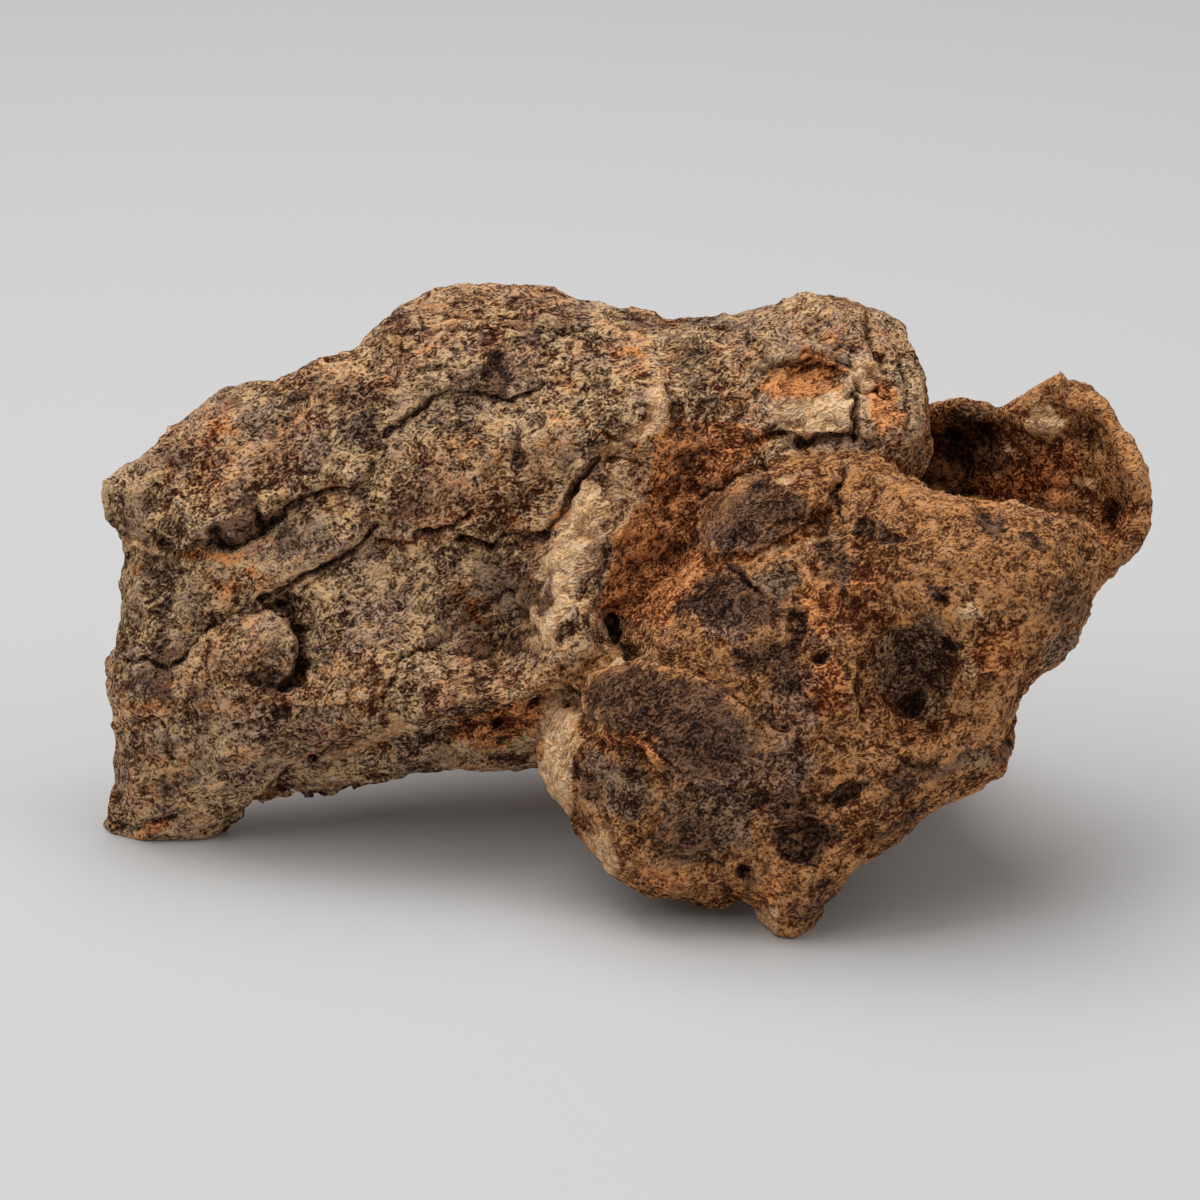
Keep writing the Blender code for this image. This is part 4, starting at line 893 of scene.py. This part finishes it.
def sunk_below(mesh, points, normals, rounds):
    """How far each point lies below its surroundings, in mm, where more rounds look at wider surroundings."""
    ends = np.empty(len(mesh.edges) * 2, np.int32)
    mesh.edges.foreach_get("vertices", ends)
    first, second = ends.reshape(-1, 2).T
    count = len(points)
    linked = np.bincount(first, minlength=count) + np.bincount(second, minlength=count)
    soft = points.copy()
    for _ in range(rounds):
        for axis in range(3):
            total = np.bincount(first, soft[second, axis], count)
            total += np.bincount(second, soft[first, axis], count)
            soft[:, axis] = 0.5 * soft[:, axis] + 0.5 * total / linked
    return ((soft - points) * normals).sum(1) / MM


def crust_kinds(mesh):
    """The share of each kind of crust at each point, as a dictionary of arrays."""
    points, normals = points_of(mesh), normals_of(mesh)
    places = to_sheet(points)
    spots = points / MM
    facing = normals @ VIEWER
    prow, valley, shown = zones(places, facing)
    loose = ragged(places, *PATCH_STRAY)
    lines = ragged(places, *LINE_STRAY)
    kinds = {kind: np.zeros(len(points)) for kind in KINDS}

    def lay(kind, near, cover):
        """Lays a kind over the shown side where it isn't yet as thick."""
        kinds[kind][near] = np.maximum(kinds[kind][near], cover * shown[near])

    for kind, patches in PATCHES.items():
        for patch in patches:
            near, cover = oval(patch, loose)
            lay(kind, near, patch.share * cover)
    for kind, streaks in STREAKS.items():
        for streak in streaks:
            cover = stroke(streak.path, lines, streak.half_width * STREAK_SPREAD)
            lay(kind, slice(None), streak.share * cover)
    for panel in PANELS.values():
        near = close_by(panel.edge, loose, PANEL_EDGE)
        lay(panel.kind, near, panel.share * within(panel.edge, loose[near], PANEL_EDGE))
    for pit in PITS.values():
        near, cover = oval(pit, loose)
        lay("dark", near, PIT_DARKNESS * cover)

    # How sunk each point is, narrowly and broadly; the material darkens narrow hollows by the narrow measure
    # as painted shade
    sunk = sunk_below(mesh, points, normals, SUNK_ROUNDS)
    deep = sunk_below(mesh, points, normals, DEEP_ROUNDS)
    kinds["sunk"] = np.clip(0.5 + sunk / SUNK_DEPTH, 0.0, 1.0)
    kinds["deep"] = np.clip(0.5 + deep / DEEP_DEPTH, 0.0, 1.0)
    hollow = kinds["deep"] - 0.5
    soil = 0.95 + 0.4 * hollow + 0.3 * cloud(spots, *CLOUDS["soil"])
    kinds["soil"] = np.clip(prow * soil, 0.0, 1.0)
    kinds["rust"] = np.maximum(kinds["rust"], VALLEY_RUST * valley)
    for kind, scatter in SCATTERED.items():
        most = scatter.hidden * (1.0 - shown) + scatter.shown * shown * (1.0 - 0.5 * prow)
        cover = smooth(0.5 + scatter.bias + 1.3 * cloud(spots, *scatter.lumps))
        kinds[kind] = np.maximum(kinds[kind], most * cover)
    density = 0.55 - 0.12 * prow + 0.5 * cloud(spots, *CLOUDS["density"]) - 0.25 * hollow
    kinds["grain"] = np.maximum(np.clip(density, 0.0, 1.0), kinds["grain"])
    return kinds


def node(tree, kind, inputs=None, output=0, **settings):
    """Adds a node, sets or links its inputs, and returns the output that is asked for."""
    made = tree.nodes.new(kind)
    for name, value in settings.items():
        setattr(made, name, value)
    for socket, value in (inputs or {}).items():
        if isinstance(value, bpy.types.NodeSocket):
            tree.links.new(value, made.inputs[socket])
        else:
            made.inputs[socket].default_value = value
    return made.outputs[output] if made.outputs else None


MIX_SHARE, MIX_UNDER, MIX_OVER, MIX_COLOUR = 0, 6, 7, 2  # sockets of a colour mix


def rusted_iron_crust(shape, colours):
    """Iron with a weathered crust of goethite and magnetite.

    It rusted in the open for ages. The crust is matt and mottled: dark oxide speckled with tan grains, skins
    of purple and blue-grey where it is worn smooth, soil and orange rust where it is hollow, and pale lime in
    veins. Every kind has the same short curled grains, light on dark, about half a millimetre apart; their
    dark gaps follow the fine bump and so are partly painted shade. Narrow hollows and the cracks are darkened
    as painted shade too.
    """
    material = bpy.data.materials.new("rusted iron crust, weathered")
    material.use_nodes = True
    tree = material.node_tree
    tree.nodes.clear()
    place = node(tree, "ShaderNodeTexCoord", output="Object")
    flow = node(tree, "ShaderNodeAttribute", output="Vector", attribute_name=FLOW)
    kinds = {kind: node(tree, "ShaderNodeAttribute", output="Fac", attribute_name=kind) for kind in KINDS}

    # Clouds in the object's own space: one breaks up the edges of the coats, and the others vary their tone
    def clouded(vector, size, detail=1.0, roughness=0.6, bend=0.0):
        return node(tree, "ShaderNodeTexNoise", {"Vector": vector, "Scale": 1.0 / size, "Detail": detail,
                                                 "Roughness": roughness, "Distortion": bend})

    edge = clouded(place, 1.3 * MM, 5.0, 0.7, 0.6)
    tone = clouded(place, 3.0 * MM, 4.0)
    clump = clouded(place, 0.6 * MM, bend=0.8)
    stain = clouded(flow, 0.8, 3.0, 0.7, 0.5)

    # Pale curls with dark gaps lie along the flow of the metal: they are a cloud seen through a wave
    swirl = clouded(flow, shape.curl_size / MM, 0.0, bend=2.0)
    bands = node(tree, "ShaderNodeMath", {0: swirl, 1: 4.0 * math.pi}, operation="MULTIPLY")
    curl = node(tree, "ShaderNodeMath", {0: bands}, operation="SINE")
    dust = clouded(place, shape.grain_width, 0.5)

    level = 0.0
    patterns = {**kinds, "curl": curl, "dust": dust, "clump": clump, "tone": tone}
    for name, strength in GRAIN_PARTS.items():
        level = node(tree, "ShaderNodeMath", {0: patterns[name], 1: strength, 2: level},
                     operation="MULTIPLY_ADD")
    even = node(tree, "ShaderNodeMapRange", {"Value": level, "From Min": ALL_DARK, "From Max": ALL_LIGHT})
    grains = node(tree, "ShaderNodeMath", {0: even, 1: 2.0}, operation="POWER")

    covers = {}
    stacks = {"dark": (*colours.oxide_dark, 1.0), "light": (*colours.oxide_light, 1.0)}
    for kind, strength in COATS.items():
        torn = node(tree, "ShaderNodeMath", {0: edge, 1: COAT_TEAR, 2: kinds[kind]}, operation="MULTIPLY_ADD")
        covers[kind] = node(tree, "ShaderNodeMapRange", {"Value": torn, "From Min": COAT_STARTS,
                                                         "From Max": COAT_WHOLE, "To Max": strength},
                            interpolation_type="SMOOTHSTEP")
        for side, under in stacks.items():
            over = (*getattr(colours, f"{kind}_{side}"), 1.0)
            stacks[side] = node(tree, "ShaderNodeMix", {MIX_SHARE: covers[kind], MIX_UNDER: under,
                                                        MIX_OVER: over}, MIX_COLOUR, data_type="RGBA")
    seen = node(tree, "ShaderNodeMix", {MIX_SHARE: grains, MIX_UNDER: stacks["dark"],
                                        MIX_OVER: stacks["light"]}, MIX_COLOUR, data_type="RGBA")

    warm = node(tree, "ShaderNodeMapRange", {"Value": stain, "From Min": STAIN_STARTS,
                                             "From Max": STAIN_WHOLE})
    cast = node(tree, "ShaderNodeMix", {MIX_SHARE: warm, MIX_UNDER: (*colours.cool_cast, 1.0),
                                        MIX_OVER: (*colours.warm_cast, 1.0)}, MIX_COLOUR, data_type="RGBA")
    seen = node(tree, "ShaderNodeMix", {MIX_SHARE: 1.0, MIX_UNDER: seen, MIX_OVER: cast}, MIX_COLOUR,
                data_type="RGBA", blend_type="MULTIPLY")

    # Painted shade in the low places: narrow hollows are darkened in the colour
    low = node(tree, "ShaderNodeMapRange", {"Value": kinds["sunk"], "From Min": PAINTED_SHADE_STARTS,
                                            "From Max": 1.0, "To Min": 1.0, "To Max": PAINTED_SHADE_DARKEST})
    seen = node(tree, "ShaderNodeMix", {MIX_SHARE: 1.0, MIX_UNDER: seen, MIX_OVER: low}, MIX_COLOUR,
                data_type="RGBA", blend_type="MULTIPLY")

    # Black oxide is worn smoother than the rest
    dull = node(tree, "ShaderNodeMapRange", {"Value": covers["dark"], "To Min": DULL, "To Max": WORN})
    # The bump's height is the same dust and curls that lighten the grains, so the colour's dark gaps are
    # partly painted shade of this fine relief as well as the oxide's own grain
    height = node(tree, "ShaderNodeMath", {0: dust, 1: 2.0, 2: curl}, operation="MULTIPLY_ADD")
    bump = node(tree, "ShaderNodeBump", {"Height": height, "Strength": 1.0, "Distance": GRAIN_HEIGHT},
                "Normal")
    surface = node(tree, "ShaderNodeBsdfPrincipled", {"Base Color": seen, "Roughness": dull, "Normal": bump,
                                                      "Metallic": 0.0, "IOR": 1.5, "Specular IOR Level": 0.1})
    node(tree, "ShaderNodeOutputMaterial", {"Surface": surface})
    return material


def sweep_paper(look):
    """Seamless paper board, calendered: pale, matt and even, with the faintest soft sheen."""
    material = bpy.data.materials.new("seamless paper board, calendered")
    material.use_nodes = True
    tree = material.node_tree
    surface = tree.nodes["Principled BSDF"]
    surface.inputs["Base Color"].default_value = (*look.sweep_colour, 1.0)
    surface.inputs["IOR"].default_value = 1.45
    # Pulp fibres are about 0.03 mm wide, too fine to show, so the tooth is drawn at 1 mm
    place = node(tree, "ShaderNodeTexCoord", output="Object")
    tooth = node(tree, "ShaderNodeTexNoise", {"Vector": place, "Scale": 1.0 / (1.0 * MM), "Detail": 2.0})
    dull = node(tree, "ShaderNodeMapRange", {"Value": tooth, "From Min": 0.3, "From Max": 0.7,
                                             "To Min": 0.5, "To Max": 0.6})
    tree.links.new(dull, surface.inputs["Roughness"])
    return material


class METEORITE_OT_crust(bpy.types.Operator):
    """Make the stone's crust: a fine net over the solid, carved, roughened and coloured"""

    bl_idname = "meteorite.crust"
    bl_label = "Crust"

    def execute(self, context):
        shape, colours = context.scene.crust_shape, context.scene.crust_colours
        mesh = carved_mesh(shape)
        mesh.name = "meteorite_crust"
        for kind, shares in crust_kinds(mesh).items():
            painted = mesh.attributes.new(kind, "FLOAT", "POINT")
            painted.data.foreach_set("value", shares.astype(np.float32))
        places = to_sheet(points_of(mesh))
        flowing = mesh.attributes.new(FLOW, "FLOAT_VECTOR", "POINT")
        flowing.data.foreach_set("vector", along_flow(places, GRAIN_STRETCH).astype(np.float32).ravel())
        mesh.materials.clear()
        mesh.materials.append(rusted_iron_crust(shape, colours))
        mesh.shade_smooth()
        stone = bpy.data.objects.new("meteorite_crust", mesh)
        context.scene.collection.objects.link(stone)
        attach(stone, "root")
        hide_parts("meteorite")
        return {"FINISHED"}


class METEORITE_OT_stage(bpy.types.Operator):
    """Set up the pale sweep, the lights and the camera"""

    bl_idname = "meteorite.stage"
    bl_label = "Stage"

    def execute(self, context):
        look = context.scene.stage_look
        sweep(look)
        lights(look)
        camera()
        return {"FINISHED"}


def sweep(look):
    """A floor that curves up into a back wall far behind the stone."""
    front, start, radius, top = -1.2, 0.7, 0.5, 0.9
    bends = 24
    profile = [(front, 0.0)]
    for i in range(bends + 1):
        turn = math.radians(90.0) * i / bends
        profile.append((start + radius * math.sin(turn), radius - radius * math.cos(turn)))
    profile.append((start + radius, top))
    shape = bmesh.new()
    half = look.sweep_width / 2.0
    rows = [[shape.verts.new((side * half, y, z)) for side in (-1, 1)] for y, z in profile]
    for near, far in zip(rows, rows[1:]):
        shape.faces.new((near[0], near[1], far[1], far[0]))
    mesh = bpy.data.meshes.new("sweep")
    shape.to_mesh(mesh)
    shape.free()
    mesh.shade_smooth()
    mesh.materials.append(sweep_paper(look))
    floor = bpy.data.objects.new("sweep", mesh)
    bpy.context.scene.collection.objects.link(floor)
    return floor


LIGHTS = {  # name: its seat and width in metres, and the setting that holds its power
    "top": ((-0.05, 0.1, 0.5), 0.5, "top_power"),
    "front": ((-0.42, -0.4, 0.6), 0.6, "front_power"),
    "side": ((0.8, -0.3, 0.5), 0.9, "side_power"),
}


def lights(look):
    """Large soft lights aimed at the stone, and an even grey room."""
    middle = Vector((0.0, 0.0, 0.02))
    for name, (seat, width, setting) in LIGHTS.items():
        lamp = bpy.data.lights.new(name, "AREA")
        lamp.energy = getattr(look, setting)
        lamp.size = width
        lamp.shape = "SQUARE"
        holder = bpy.data.objects.new(name, lamp)
        holder.location = seat
        holder.rotation_euler = (middle - Vector(seat)).to_track_quat("-Z", "Y").to_euler()
        bpy.context.scene.collection.objects.link(holder)
    world = bpy.data.worlds.new("even grey room")
    world.use_nodes = True
    sky = world.node_tree.nodes["Background"]
    sky.inputs["Color"].default_value = (1.0, 1.0, 1.0, 1.0)
    sky.inputs["Strength"].default_value = look.room_light
    bpy.context.scene.world = world
    bpy.context.scene.view_settings.view_transform = "Standard"


def camera():
    """A long lens half a metre away that looks down by LEAN, square to the drawing sheet."""
    lens = bpy.data.cameras.new("camera")
    lens.sensor_width = 36.0
    lens.lens = lens.sensor_width * SIGHT / FRAME_WIDTH
    lens.clip_start = 0.01
    holder = bpy.data.objects.new("camera", lens)
    aim = to_world((SIGHT_ACROSS, SIGHT_UP, 0.0))
    holder.location = aim + Vector(VIEWER) * SIGHT * MM
    holder.rotation_euler = (math.radians(90.0) - LEAN, 0.0, 0.0)
    bpy.context.scene.collection.objects.link(holder)
    bpy.context.scene.camera = holder


class METEORITE_PT_panel(bpy.types.Panel):
    """The stone's sizes, colours and stage"""

    bl_label = "Meteorite"
    bl_idname = "METEORITE_PT_panel"
    bl_space_type = "VIEW_3D"
    bl_region_type = "UI"
    bl_category = "Meteorite"

    def draw(self, context):
        for group, operator in (("crust_shape", None), ("crust_colours", METEORITE_OT_crust),
                                ("stage_look", METEORITE_OT_stage)):
            values = getattr(context.scene, group)
            box = self.layout.box()
            for name in values.__annotations__:
                box.prop(values, name)
            if operator:
                box.operator(operator.bl_idname)


GROUPS = {"crust_shape": CrustShape, "crust_colours": CrustColours, "stage_look": StageLook}
CLASSES = (*GROUPS.values(), METEORITE_OT_crust, METEORITE_OT_stage, METEORITE_PT_panel)


def register():
    for made in CLASSES:
        bpy.utils.register_class(made)
    for name, group in GROUPS.items():
        setattr(bpy.types.Scene, name, bpy.props.PointerProperty(type=group))


def unregister():
    for name in GROUPS:
        delattr(bpy.types.Scene, name)
    for made in reversed(CLASSES):
        bpy.utils.unregister_class(made)


def main():
    register()
    bpy.ops.meteorite.crust()
    bpy.ops.meteorite.stage()


if __name__ == "__main__":
    main()
